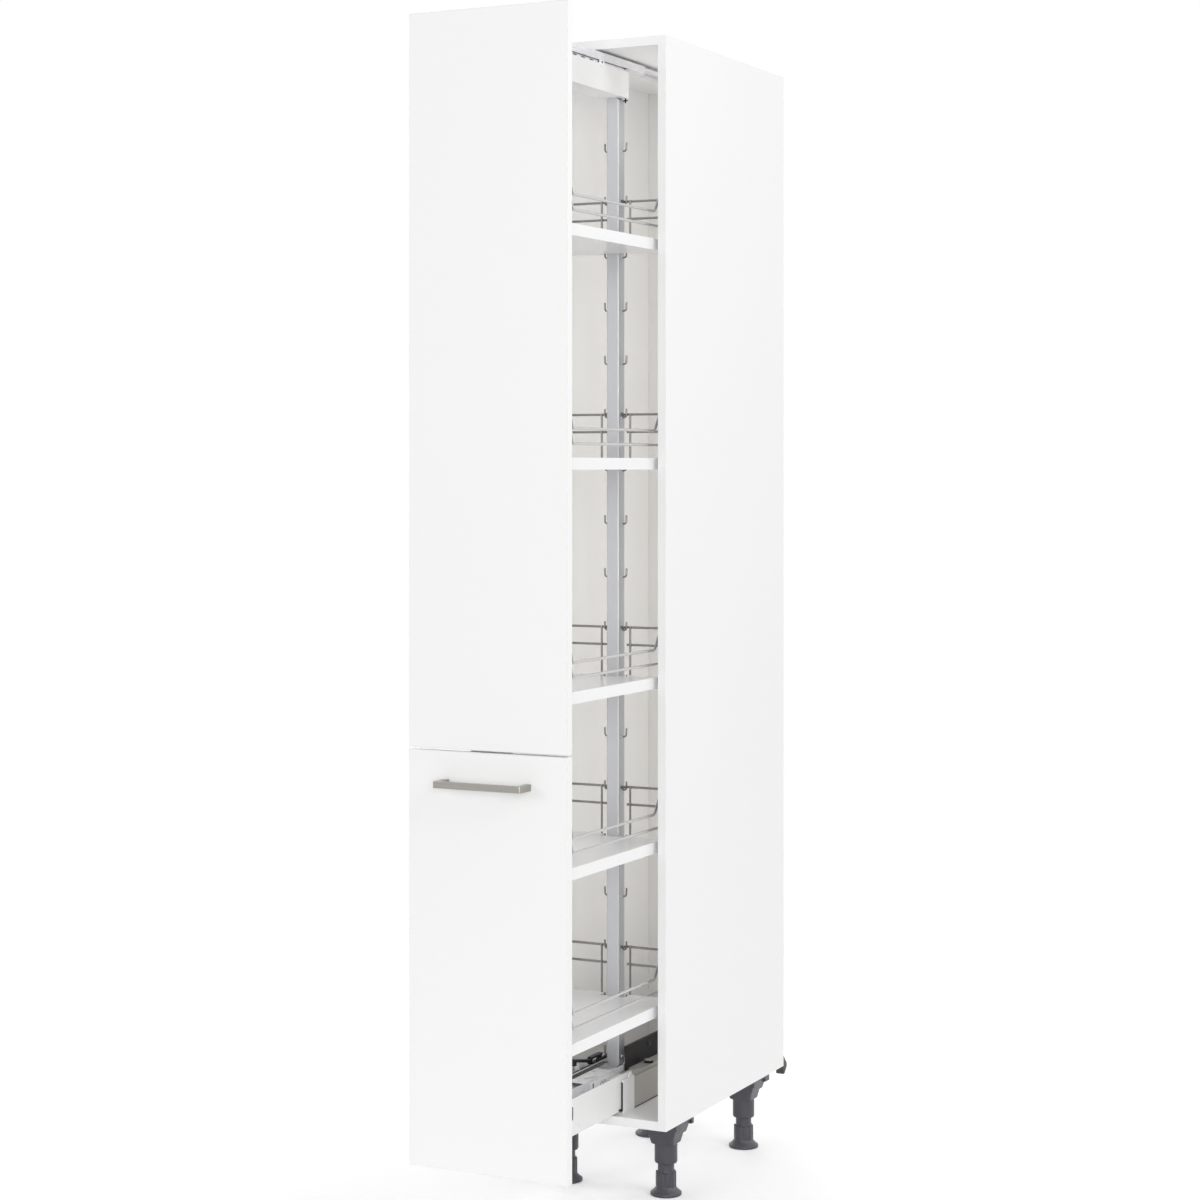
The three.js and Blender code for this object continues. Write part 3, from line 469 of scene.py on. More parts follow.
        rim = 0.5 * radius
        rows = [(radius, 0.0), (radius, 0.3 * height), (0.9 * radius, 0.62 * height),
                (0.72 * radius, 0.88 * height), (rim, height)]
        loops = [[spot(a, b, rise) for a, b in circle((0, 0), size)] for size, rise in rows]
        self.loft(loops, end_cap=False)
        arm, half = 0.42 * radius, 0.11 * radius
        cross = [(arm, -half), (arm, half), (half, half), (half, arm), (-half, arm), (-half, half),
                 (-arm, half), (-arm, -half), (-half, -half), (-half, -arm), (half, -arm),
                 (half, -half)]
        ring = circle((0, 0), rim)
        top = self.corners(spot(a, b, height) for a, b in ring + cross)
        self.flat(top, (ring, cross))
        floor = self.corners(spot(a * 0.6, b * 0.6, 0.35 * height) for a, b in cross)
        self.skin(top[len(ring):], floor)
        self.mesh.faces.new(floor)
        return self

    def piece(self, name, slot, nodes=(), smooth=38):
        """Sets the drawing in the scene as a piece on its body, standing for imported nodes."""
        old = bpy.data.objects.get(name)
        if old is not None:
            bpy.data.objects.remove(old)
        bmesh.ops.remove_doubles(self.mesh, verts=self.mesh.verts, dist=0.0005)
        bmesh.ops.recalc_face_normals(self.mesh, faces=self.mesh.faces)
        bmesh.ops.transform(
            self.mesh, verts=self.mesh.verts,
            matrix=Matrix.Translation(self.datum) @ Matrix.Scale(MM, 4))
        mesh = bpy.data.meshes.new(name)
        self.mesh.to_mesh(mesh)
        self.mesh.free()
        mesh.polygons.foreach_set("use_smooth", [True] * len(mesh.polygons))
        mesh.set_sharp_from_angle(angle=math.radians(smooth))
        mesh.materials.append(finish(slot))
        piece = bpy.data.objects.new(name, mesh)
        bpy.context.scene.collection.objects.link(piece)
        weighted = piece.modifiers.new("Even shading", "WEIGHTED_NORMAL")
        weighted.keep_sharp = True
        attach(piece, self.body)
        if nodes:
            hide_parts(*nodes)
        return piece


def dressed_copy(node, body, slot, edge, segments=2):
    """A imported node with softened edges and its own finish."""
    Drawing(body).copy(node).soften(edge, segments).piece(f"{node}_dressed", slot, [node])


# ---------------------------------------------------------------- finishes


def feed(tree, socket, value):
    """Links a socket to an input, or sets a constant on it."""
    if isinstance(value, bpy.types.NodeSocket):
        tree.links.new(value, socket)
    else:
        socket.default_value = value


def math_node(tree, operation, a, b, c=None, clamp=False):
    """The result of one sum of two or three values."""
    node = tree.nodes.new("ShaderNodeMath")
    node.operation = operation
    node.use_clamp = clamp
    feed(tree, node.inputs[0], a)
    feed(tree, node.inputs[1], b)
    if c is not None:
        feed(tree, node.inputs[2], c)
    return node.outputs[0]


def mix_colours(tree, factor, a, b):
    """Two colours mixed by a factor."""
    node = tree.nodes.new("ShaderNodeMix")
    node.data_type = "RGBA"
    feed(tree, node.inputs[0], factor)
    feed(tree, node.inputs[6], a)
    feed(tree, node.inputs[7], b)
    return node.outputs[2]


def mix_values(tree, factor, a, b):
    """Two values mixed by a factor."""
    node = tree.nodes.new("ShaderNodeMix")
    feed(tree, node.inputs[0], factor)
    feed(tree, node.inputs[2], a)
    feed(tree, node.inputs[3], b)
    return node.outputs[0]


def stretched_place(tree, stretch):
    """The place on the piece, stretched along its axes."""
    place = tree.nodes.new("ShaderNodeTexCoord")
    scaled = tree.nodes.new("ShaderNodeVectorMath")
    scaled.operation = "MULTIPLY"
    tree.links.new(place.outputs["Object"], scaled.inputs[0])
    feed(tree, scaled.inputs[1], stretch)
    return scaled.outputs[0]


def noise(tree, place, scale, detail=3.0):
    """A value from 0 to 1 that wanders over the surface."""
    node = tree.nodes.new("ShaderNodeTexNoise")
    feed(tree, node.inputs["Vector"], place)
    feed(tree, node.inputs["Scale"], scale)
    node.inputs["Detail"].default_value = detail
    return node.outputs["Fac"]


def new_group(name, inputs, outputs):
    """An empty node group with named inputs and outputs."""
    old = bpy.data.node_groups.get(name)
    if old is not None:
        bpy.data.node_groups.remove(old)
    tree = bpy.data.node_groups.new(name, "ShaderNodeTree")
    for label, kind, default in inputs:
        socket = tree.interface.new_socket(name=label, in_out="INPUT", socket_type=kind)
        socket.default_value = default
    for label, kind in outputs:
        tree.interface.new_socket(name=label, in_out="OUTPUT", socket_type=kind)
    entry = tree.nodes.new("NodeGroupInput")
    leave = tree.nodes.new("NodeGroupOutput")
    return tree, entry.outputs, leave.inputs


FLOAT, COLOUR, VECTOR = "NodeSocketFloat", "NodeSocketColor", "NodeSocketVector"
FIRST_GREY, SECOND_GREY = (0.6, 0.6, 0.6, 1.0), (0.5, 0.5, 0.5, 1.0)
CLOUD_SHARE = 0.65


def spread_roughness(tree, given, pattern):
    """A group's roughness, swung to both sides by a pattern."""
    swing = math_node(tree, "SUBTRACT", pattern, 0.5)
    return math_node(
        tree, "MULTIPLY_ADD", swing, given["Roughness Spread"], given["Roughness"], clamp=True)


def fine_texture_group():
    """Mottled colour, roughness and height of a coated or moulded surface."""
    tree, given, out = new_group(
        "Fine Texture",
        [("Colour", COLOUR, FIRST_GREY), ("Second Colour", COLOUR, SECOND_GREY),
         ("Stretch", VECTOR, (1.0, 1.0, 1.0)), ("Cloud Scale", FLOAT, 6.0),
         ("Grain Scale", FLOAT, 700.0), ("Roughness", FLOAT, 0.4),
         ("Roughness Spread", FLOAT, 0.1)],
        [("Colour", COLOUR), ("Roughness", FLOAT), ("Height", FLOAT)])
    place = stretched_place(tree, given["Stretch"])
    cloud = noise(tree, place, given["Cloud Scale"], 4.0)
    grain = noise(tree, place, given["Grain Scale"], 2.0)
    mottle = math_node(tree, "MULTIPLY_ADD", grain, 1.0 - CLOUD_SHARE,
                       math_node(tree, "MULTIPLY", cloud, CLOUD_SHARE))
    tree.links.new(
        mix_colours(tree, mottle, given["Colour"], given["Second Colour"]), out["Colour"])
    tree.links.new(spread_roughness(tree, given, mottle), out["Roughness"])
    tree.links.new(grain, out["Height"])


def hairline_group():
    """Long fine lines, as brushing or drawing leaves on metal."""
    tree, given, out = new_group(
        "Hairlines",
        [("Colour", COLOUR, FIRST_GREY), ("Stretch", VECTOR, (20.0, 900.0, 900.0)),
         ("Depth", FLOAT, 0.1), ("Roughness", FLOAT, 0.3), ("Roughness Spread", FLOAT, 0.2)],
        [("Colour", COLOUR), ("Roughness", FLOAT), ("Height", FLOAT)])
    lines = noise(tree, stretched_place(tree, given["Stretch"]), 1.0)
    swing = math_node(tree, "SUBTRACT", lines, 0.5)
    level = math_node(tree, "MULTIPLY_ADD", swing, given["Depth"], 1.0)
    lit = tree.nodes.new("ShaderNodeVectorMath")
    lit.operation = "SCALE"
    tree.links.new(given["Colour"], lit.inputs[0])
    tree.links.new(level, lit.inputs["Scale"])
    tree.links.new(lit.outputs[0], out["Colour"])
    tree.links.new(spread_roughness(tree, given, lines), out["Roughness"])
    tree.links.new(lines, out["Height"])


def spangle_group():
    """The faint crystal flowers of zinc."""
    tree, given, out = new_group(
        "Zinc Spangle",
        [("Colour", COLOUR, FIRST_GREY), ("Second Colour", COLOUR, SECOND_GREY),
         ("Scale", FLOAT, 160.0), ("Amount", FLOAT, 0.5)],
        [("Colour", COLOUR)])
    cells = tree.nodes.new("ShaderNodeTexVoronoi")
    tree.links.new(stretched_place(tree, (1.0, 1.0, 1.0)), cells.inputs["Vector"])
    tree.links.new(given["Scale"], cells.inputs["Scale"])
    split = tree.nodes.new("ShaderNodeSeparateColor")
    tree.links.new(cells.outputs["Color"], split.inputs[0])
    factor = math_node(tree, "MULTIPLY", split.outputs[0], given["Amount"], clamp=True)
    tree.links.new(
        mix_colours(tree, factor, given["Colour"], given["Second Colour"]), out["Colour"])


def dust_group():
    """A trace of dust on faces that look up."""
    tree, given, out = new_group(
        "Settled Dust",
        [("Colour", COLOUR, FIRST_GREY), ("Roughness", FLOAT, 0.4),
         ("Dust Colour", COLOUR, (0.62, 0.6, 0.57, 1.0)), ("Amount", FLOAT, 0.1)],
        [("Colour", COLOUR), ("Roughness", FLOAT)])
    surface = tree.nodes.new("ShaderNodeNewGeometry")
    split = tree.nodes.new("ShaderNodeSeparateXYZ")
    tree.links.new(surface.outputs["Normal"], split.inputs[0])
    upward = math_node(tree, "MAXIMUM", split.outputs["Z"], 0.0)
    patches = noise(tree, stretched_place(tree, (1.0, 1.0, 1.0)), 22.0, 5.0)
    full = math_node(tree, "MULTIPLY", upward, patches)
    mask = math_node(tree, "MULTIPLY", full, given["Amount"], clamp=True)
    tree.links.new(
        mix_colours(tree, mask, given["Colour"], given["Dust Colour"]), out["Colour"])
    rough = math_node(tree, "MULTIPLY_ADD", mask, 0.4, given["Roughness"], clamp=True)
    tree.links.new(rough, out["Roughness"])


# Each finish: the second colour as shares of the first, the scales of cloud and grain,
# roughness and its spread, the bump's height in metres and the dust. Where it has them also
# metal, coat, specular, the stretch and depth of its lines, spangle, and a wire's rim colour.
# The rim colour is a painted reflection that lightens a wire towards its grazing edges.
FINISHES = {
    "white_board": dict(
        shift=(0.985, 0.985, 0.982), cloud=5.0, grain=1400.0, rough=0.42, spread=0.1,
        bump=0.00002, dust=0.03),
    "back_board": dict(
        shift=(0.965, 0.96, 0.95), cloud=9.0, grain=900.0, rough=0.5, spread=0.12,
        bump=0.00003, dust=0.03),
    "tray_white": dict(
        shift=(0.985, 0.985, 0.985), cloud=8.0, grain=1100.0, rough=0.24, spread=0.08,
        bump=0.00001, dust=0.04, coat=0.15),
    "dark_plastic": dict(
        shift=(0.62, 0.62, 0.64), cloud=30.0, grain=1600.0, rough=0.33, spread=0.2,
        bump=0.00005, dust=0.08),
    "brown_plastic": dict(
        shift=(0.8, 0.78, 0.76), cloud=30.0, grain=1600.0, rough=0.55, spread=0.14,
        bump=0.00005, dust=0.15),
    "black_plastic": dict(
        shift=(1.5, 1.5, 1.5), cloud=26.0, grain=1500.0, rough=0.36, spread=0.14,
        bump=0.00003, dust=0.05, specular=0.25),
    "white_plastic": dict(
        shift=(0.975, 0.975, 0.97), cloud=14.0, grain=1300.0, rough=0.3, spread=0.1,
        bump=0.00002, dust=0.04, coat=0.1),
    "white_steel": dict(
        shift=(0.97, 0.97, 0.97), cloud=18.0, grain=520.0, rough=0.34, spread=0.08,
        bump=0.00005, dust=0.04, coat=0.1),
    "grey_steel": dict(
        shift=(0.93, 0.93, 0.93), cloud=16.0, grain=520.0, rough=0.42, spread=0.1,
        bump=0.00006, dust=0.08),
    "zinc_steel": dict(
        metal=0.3, stretch=(260.0, 12.0, 260.0), depth=0.16, rough=0.3, spread=0.22,
        bump=0.000012, spangle=0.8, shift=(0.9, 0.9, 0.92), dust=0.04),
    "post_steel": dict(
        metal=0.5, shift=(0.95, 0.95, 0.955), cloud=7.0, grain=1500.0, rough=0.36, spread=0.1,
        bump=0.00002, dust=0.0),
    "brushed_nickel": dict(
        metal=1.0, stretch=(14.0, 1500.0, 1500.0), depth=0.3, rough=0.3, spread=0.3,
        bump=0.00002, dust=0.02),
    "chrome_wire": dict(
        metal=1.0, shift=(0.94, 0.94, 0.95), cloud=40.0, grain=900.0, rough=0.2, spread=0.06,
        bump=0.000004, dust=0.0, rim=(0.9, 0.9, 0.9)),
}


def finish(slot):
    """The finish for a material slot, built the first time it is asked for."""
    name = slot.replace("_", " ").capitalize()
    return bpy.data.materials.get(name) or build_finish(slot, name)


def place_group(tree, name, values):
    """A node group placed in a material with its own values."""
    node = tree.nodes.new("ShaderNodeGroup")
    node.node_tree = bpy.data.node_groups[name]
    for label, value in values.items():
        feed(tree, node.inputs[label], value)
    return node.outputs


def build_finish(slot, name):
    """Builds one finish from its row."""
    row = FINISHES[slot]
    base = list(getattr(bpy.context.scene.larder_colours, slot))
    colour = (*base, 1.0)
    shift = row.get("shift", (1.0, 1.0, 1.0))
    second = (*[c * s for c, s in zip(base, shift)], 1.0)
    material = bpy.data.materials.new(name)
    material.use_nodes = True
    material.diffuse_color = colour
    tree = material.node_tree
    shader = tree.nodes["Principled BSDF"]
    for label, key, usual in (
            ("Metallic", "metal", 0.0), ("Coat Weight", "coat", 0.0),
            ("Specular IOR Level", "specular", 0.5)):
        shader.inputs[label].default_value = row.get(key, usual)
    if row.get("spangle"):
        colour = place_group(tree, "Zinc Spangle", {
            "Colour": colour, "Second Colour": second, "Amount": row["spangle"]})["Colour"]
    if row.get("stretch"):
        made = place_group(tree, "Hairlines", {
            "Colour": colour, "Stretch": row["stretch"], "Depth": row["depth"],
            "Roughness": row["rough"], "Roughness Spread": row["spread"]})
    else:
        made = place_group(tree, "Fine Texture", {
            "Colour": colour, "Second Colour": second, "Cloud Scale": row["cloud"],
            "Grain Scale": row["grain"], "Roughness": row["rough"],
            "Roughness Spread": row["spread"]})
    dusty = place_group(tree, "Settled Dust", {
        "Colour": made["Colour"], "Roughness": made["Roughness"], "Amount": row["dust"]})
    colour = dusty["Colour"]
    # Painted reflection: towards grazing angles the colour turns to the rim colour, so that a
    # wire's edges read light and its core dark.
    if row.get("rim"):
        weight = tree.nodes.new("ShaderNodeLayerWeight")
        weight.inputs["Blend"].default_value = 0.5
        colour = mix_colours(tree, weight.outputs["Facing"], colour, (*row["rim"], 1.0))
    tree.links.new(colour, shader.inputs["Base Color"])
    tree.links.new(dusty["Roughness"], shader.inputs["Roughness"])
    bump = tree.nodes.new("ShaderNodeBump")
    bump.inputs["Strength"].default_value = 1.0
    bump.inputs["Distance"].default_value = row["bump"]
    tree.links.new(made["Height"], bump.inputs["Height"])
    tree.links.new(bump.outputs["Normal"], shader.inputs["Normal"])
    return material


class LARDER_OT_finishes(bpy.types.Operator):
    """Build the node groups and the finish of every material slot"""

    bl_idname = "larder.finishes"
    bl_label = "Finishes"

    def execute(self, context):
        for build in (fine_texture_group, hairline_group, spangle_group, dust_group):
            build()
        for slot in FINISHES:
            made = finish(slot)
            for row in frame["record"]["subparts"]:
                if row["material_slot"] == slot:
                    cad = frame["nodes"][row["node"]]
                    cad.data.materials.clear()
                    cad.data.materials.append(made)
        return {"FINISHED"}


# ---------------------------------------------------------------- carcass


class LARDER_OT_carcass(bpy.types.Operator):
    """Build the side boards, the top and bottom panels and their edge bands"""

    bl_idname = "larder.carcass"
    bl_label = "Carcass boards"

    def execute(self, context):
        sizes = context.scene.larder_sizes
        band, edge = sizes.band_thickness / MM, sizes.board_edge / MM
        back_low, back_high = node_box("back_panel", CABINET)
        near, far = back_low.y - GROOVE_PLAY, back_high.y + GROOVE_PLAY
        groove_x, groove_z = INNER + GROOVE_DEPTH, BOARD - GROOVE_DEPTH
        for side, sign in SIDES:
            outline = [
                (INNER, band), (OUTER, band), (OUTER, DEPTH), (INNER, DEPTH),
                (INNER, far), (groove_x, far), (groove_x, near), (INNER, near)]
            board = Drawing("cabinet").prism([(sign * x, y) for x, y in outline], 0, HEIGHT)
            board.soften(edge * 0.5).piece(f"side_{side}_board", "white_board", [f"side_{side}"])
            strip = Drawing("cabinet").block(*span(sign, INNER, OUTER), 0, band, 0, HEIGHT)
            strip.soften(edge * 0.7).piece(f"side_{side}_edge_band", "white_board")
        for panel, foot, up in (("bottom_panel", 0, 1), ("top_panel", HEIGHT, -1)):
            outline = [
                (band, 0), (DEPTH, 0), (DEPTH, BOARD), (far, BOARD),
                (far, groove_z), (near, groove_z), (near, BOARD), (band, BOARD)]
            board = Drawing("cabinet").prism(
                [(y, foot + up * z) for y, z in outline], -INNER, INNER, "X")
            board.soften(edge * 0.4).piece(f"{panel}_board", "white_board", [panel])
            strip = Drawing("cabinet").block(
                -INNER, INNER, 0, band, *sorted((foot, foot + up * BOARD)))
            strip.soften(edge * 0.5).piece(f"{panel}_edge_band", "white_board")
        dressed_copy("back_panel", "cabinet", "back_board", 0.3)
        for side, _ in SIDES:
            dressed_copy(f"rear_spacer_{side}", "cabinet", "brown_plastic", 1.2, segments=3)
        return {"FINISHED"}


class LARDER_OT_fronts(bpy.types.Operator):
    """Build the two front panels and the bands round their edges"""

    bl_idname = "larder.fronts"
    bl_label = "Fronts"

    def execute(self, context):
        sizes = context.scene.larder_sizes
        band, edge = sizes.band_thickness / MM, sizes.board_edge / MM
        for node in ("upper_front", "lower_front"):
            low, high = node_box(node, PULLOUT)
            face = (low.y, high.y)
            Drawing("pullout_frame").block(
                low.x + band, high.x - band, *face, low.z + band, high.z - band
            ).soften(edge * 0.25).piece(f"{node}_panel", "white_board", [node])
            bands = Drawing("pullout_frame")
            for x in (low.x, high.x - band):
                bands.block(x, x + band, *face, low.z, high.z)
            for z in (low.z, high.z - band):
                bands.block(low.x + band, high.x - band, *face, z, z + band)
            bands.soften(edge * 0.6).piece(f"{node}_edge_bands", "white_board")
        return {"FINISHED"}


class LARDER_OT_handle(bpy.types.Operator):
    """Build the bow handle and the screws that hold it"""

    bl_idname = "larder.handle"
    bl_label = "Handle"

    def execute(self, context):
        low, high = node_box("handle", PULLOUT)
        foot_width, bar, corner = 10.0, 9.0, 3.0
        grooves_from_door, groove_depth, groove_half = (24.0, 33.5), 0.55, 0.5
        reach, door = low.y, high.y
        left_side = [(low.x, door)]
        for y in (door - back for back in grooves_from_door):
            left_side += [(low.x, y + groove_half), (low.x + groove_depth, y),
                          (low.x, y - groove_half)]
        outline = left_side + rounded_corner_run(low.x, high.x, reach, corner)
        outline += [(-x, y) for x, y in reversed(left_side)]
        outline += [
            (high.x - foot_width, door), (high.x - foot_width, reach + bar),
            (low.x + foot_width, reach + bar), (low.x + foot_width, door)]
        bow = Drawing("pullout_frame").prism(outline, low.z, high.z)
        bow.soften(0.45, 2, angle=50).piece("handle_bow", "brushed_nickel", ["handle"])
        shank = 2.0
        for side, _ in SIDES:
            low, high = node_box(f"handle_screw_{side}", PULLOUT)
            x, z = (low.x + high.x) / 2, (low.z + high.z) / 2
            screw = Drawing("pullout_frame").screw((x, -CLOSED_GAP, z), radius=4.4, height=2.8)
            screw.turned([(shank, low.y), (shank, -CLOSED_GAP)], (x, 0, z), "Y", 16)
            screw.piece(f"handle_screw_{side}_head", "zinc_steel", [f"handle_screw_{side}"])
        return {"FINISHED"}


def rounded_corner_run(x0, x1, y, radius, steps=8):
    """The front line of the handle with a round corner at each end."""
    points = []
    for centre_x, start in ((x0 + radius, math.pi), (x1 - radius, 1.5 * math.pi)):
        for step in range(steps + 1):
            angle = start + math.pi / 2 * step / steps
            points.append((centre_x + radius * math.cos(angle),
                           y + radius + radius * math.sin(angle)))
    return points


# ---------------------------------------------------------------- posts and trays


class LARDER_OT_posts(bpy.types.Operator):
    """Build the two hook ladder posts"""

    bl_idname = "larder.posts"
    bl_label = "Hook ladder posts"

    def execute(self, context):
        sizes = context.scene.larder_sizes
        corner = sizes.post_corner / MM
        radius = sizes.hook_wire / MM / 2
        rows = 1 + int((post_high.z - TOP_CLEARANCE - FIRST_HOOK) // HOOK_PITCH)
        flat = POST_HALF - POST_END_ROUND
        hook_tip = HOOK_CURL + 0.4
        # how far the collar of a hook stands past its wire, and its place from the post's face
        collar = ((1.0, -0.4), (0.7, 0.5), (0.2, 1.1), (-0.05, 1.5))

        def end_drop(x):
            over = min(max(abs(x) - flat, 0.0), POST_END_ROUND)
            return POST_END_ROUND - math.sqrt(POST_END_ROUND ** 2 - over ** 2)

        inner_half = POST_HALF - POST_WALL
        outer = subdivided(rounded_square(POST_HALF, corner), 1.5)
        inner = [(x * inner_half / POST_HALF, y * inner_half / POST_HALF) for x, y in outer]
        for node, depth in (("front_post", FRONT_POST_Y), ("rear_post", REAR_POST_Y)):
            foot = PULLOUT + Vector((0, depth * MM, 0))
            post, hooks = Drawing("pullout_frame", foot), Drawing("pullout_frame", foot)
            post.loft([
                [(x, y, post_high.z - end_drop(x) if top else post_low.z + end_drop(x))
                 for x, y in section]
                for section, top in ((outer, False), (outer, True), (inner, True), (inner, False))
            ], ring=True).soften(0.25, 2, angle=60)
            for z in (FIRST_HOOK + row * HOOK_PITCH for row in range(rows)):
                for sign in SIGNS:
                    path = on_side(sign, [(POST_HALF - 1, 0, z), (HOOK_CURL, 0, z),
                                          (hook_tip, 0, z + HOOK_RISE - radius)])
                    hooks.wire(bent_path(path, [HOOK_BEND], 7), radius, sizes.wire_sides,
                               end_tip=True)
                    weld = [(radius + past, sign * (POST_HALF + out)) for past, out in collar]
                    post.turned(weld, (0, 0, z), "X", 16)
            post.piece(f"{node}_profile", "post_steel", [node])
            hooks.piece(f"{node}_hooks", "chrome_wire")
        return {"FINISHED"}


def subdivided(outline, longest):
    """An outline whose long runs are cut into short steps."""
    out = []
    count = len(outline)
    for i, point in enumerate(outline):
        a, b = Vector(point), Vector(outline[(i + 1) % count])
        steps = max(1, math.ceil((b - a).length / longest))
        out += [tuple(a.lerp(b, step / steps)) for step in range(steps)]
    return out


class LARDER_OT_galleries(bpy.types.Operator):
    """Build the wire galleries of the trays"""

    bl_idname = "larder.galleries"
    bl_label = "Wire galleries"

    def execute(self, context):
        sizes = context.scene.larder_sizes
        rail, upright = sizes.rail_wire / MM / 2, sizes.upright_wire / MM / 2
        rail_x = TRAY_HALF - RAIL_INSET
        both_ends = TRAY_FRONT + TRAY_REAR

        def climb(start, side_z, end_z, inset, angle):
            """From the middle of a tray's end round its corner and down to the side's height."""
            run = (end_z - side_z) / math.tan(math.radians(angle))
            return start + [(rail_x, TRAY_REAR, end_z), (rail_x, TRAY_REAR - inset + run, end_z),
                            (rail_x, TRAY_REAR - inset, side_z)]

        def rail_path(start, side_z, end_z, inset):
            front = climb(start, side_z, end_z, FRONT_INSET, FRONT_CLIMB)
            return climb(start, side_z, end_z, inset, REAR_CLIMB) + [
                (x, both_ends - y, z) for x, y, z in reversed(front)]

        top = rail_path(
            [(BUSH_X, BUSH_END, HOOK_LEVEL), (BUSH_X, TRAY_REAR, HOOK_LEVEL)],
            TOP_RAIL_LEVEL, HOOK_LEVEL, TOP_INSET)
        low = rail_path(
            [(LOW_START_X, TRAY_REAR, LOW_END_LEVEL)], LOW_RAIL_LEVEL, LOW_END_LEVEL, LOW_INSET)
        top_bends, low_bends = [3.5, 10, 8, 8, 5, 5, 10, 3.5], [10, 7, 7, 5, 5, 10]
        bead = [(0.6, -3.6), (rail * 0.96, -2.6), (rail + 0.35, -0.9),
                (rail + 0.35, 0.9), (rail * 0.96, 2.6), (0.6, 3.6)]
        bush = [(1.3, 0.5), (1.3, 0.0), (2.9, 0.0), (3.25, 0.35),
                (3.25, BUSH_LENGTH - 0.4), (2.6, BUSH_LENGTH)]
        for number in TRAYS:
            for side, sign in SIDES:
                wires = Drawing(f"tray_{number}", tray_datum(number))
                wires.wire(bent_path(on_side(sign, top), top_bends), rail, sizes.wire_sides)
                wires.wire(bent_path(on_side(sign, low), low_bends), rail, sizes.wire_sides,
                           start_tip=True, end_tip=True)
                for y, inward in ((TRAY_FRONT, 1), (TRAY_REAR, -1)):
                    behind = y + inward * UPRIGHT_SETBACK
                    stem = [(UPRIGHT_X, behind, z) for z in (BOARD_TOP - 1, HOOK_LEVEL)]
                    wires.wire(on_side(sign, stem), upright, sizes.wire_sides, end_tip=True)
                    for z in (HOOK_LEVEL, LOW_END_LEVEL):
                        wires.turned(bead, (sign * UPRIGHT_X, y + inward * 0.6, z), "X", 14)
                    start = BUSH_END if inward < 0 else both_ends - BUSH_END
                    wires.turned([(r, -inward * y1) for r, y1 in bush],
                                 (sign * BUSH_X, start, HOOK_LEVEL), "Y", 20)
                wires.piece(f"tray_{number}_gallery_{side}_wires", "chrome_wire",
                            [f"tray_{number}_gallery_{side}"])
        return {"FINISHED"}


class LARDER_OT_trays(bpy.types.Operator):
    """Build the tray boards with their side rims"""

    bl_idname = "larder.trays"
    bl_label = "Tray boards"

    def execute(self, context):
        front, rear = TRAY_FRONT - BOARD_REACH, TRAY_REAR + BOARD_REACH
        notch, gap = 25.0, POST_HALF + 1.5
        half = TRAY_HALF - 4
        front_notch, rear_notch = FRONT_POST_Y + gap, REAR_POST_Y - gap
        plan = []
        for x, end, bottom in ((-1, front, front_notch), (1, rear, rear_notch)):
            plan += [(x * half, end), (x * notch, end), (x * notch, bottom), (-x * notch, bottom),
                     (-x * notch, end), (-x * half, end)]
        plan = rounded(plan, [0, 2, 3, 3, 2, 0] * 2, 4)
        rim = rounded(rectangle(front, rear, -RIM_HEIGHT, 0), [3] * 4, 5)
        rim_inner = TRAY_HALF - RIM_THICKNESS
        board_under = BOARD_TOP - BOARD_THICKNESS
        # a bead of coating in the corner of board and rim, as steps into the rim and off the board
        fillet = ((0.3, -0.3), (-1.4, -0.3), (-1.4, 0.0), (-0.7, 0.3), (-0.2, 0.8), (0.0, 1.5),
                  (0.3, 1.5))
        for number in TRAYS:
            tray = Drawing(f"tray_{number}", tray_datum(number))
            tray.prism(plan, board_under, BOARD_TOP).soften(0.6, 2, angle=50)
            for sign in SIGNS:
                tray.prism(rim, *span(sign, rim_inner, TRAY_HALF), "X")
                for level, away in ((BOARD_TOP, 1), (board_under, -1)):
                    tray.prism(
                        [(sign * rim_inner + sign * x, level + away * z) for x, z in fillet],
                        front + 1, rear - 1, "Y")
            rims = {v for v in tray.mesh.verts if abs(v.co.x) > rim_inner - 0.01}
            tray.soften(1.0, 3, angle=50, among=rims)
            for x in (UPRIGHT_X, -UPRIGHT_X):
                for y in (TRAY_FRONT + UPRIGHT_SETBACK, TRAY_REAR - UPRIGHT_SETBACK):
                    tray.turned([(4.4, -0.4), (4.4, 0.6), (4.0, 1.1), (2.6, 1.4)],
                                (x, y, BOARD_TOP), "Z", 24)
            tray.piece(f"tray_{number}_board", "tray_white", [f"tray_{number}_base"])
        return {"FINISHED"}


# ---------------------------------------------------------------- legs


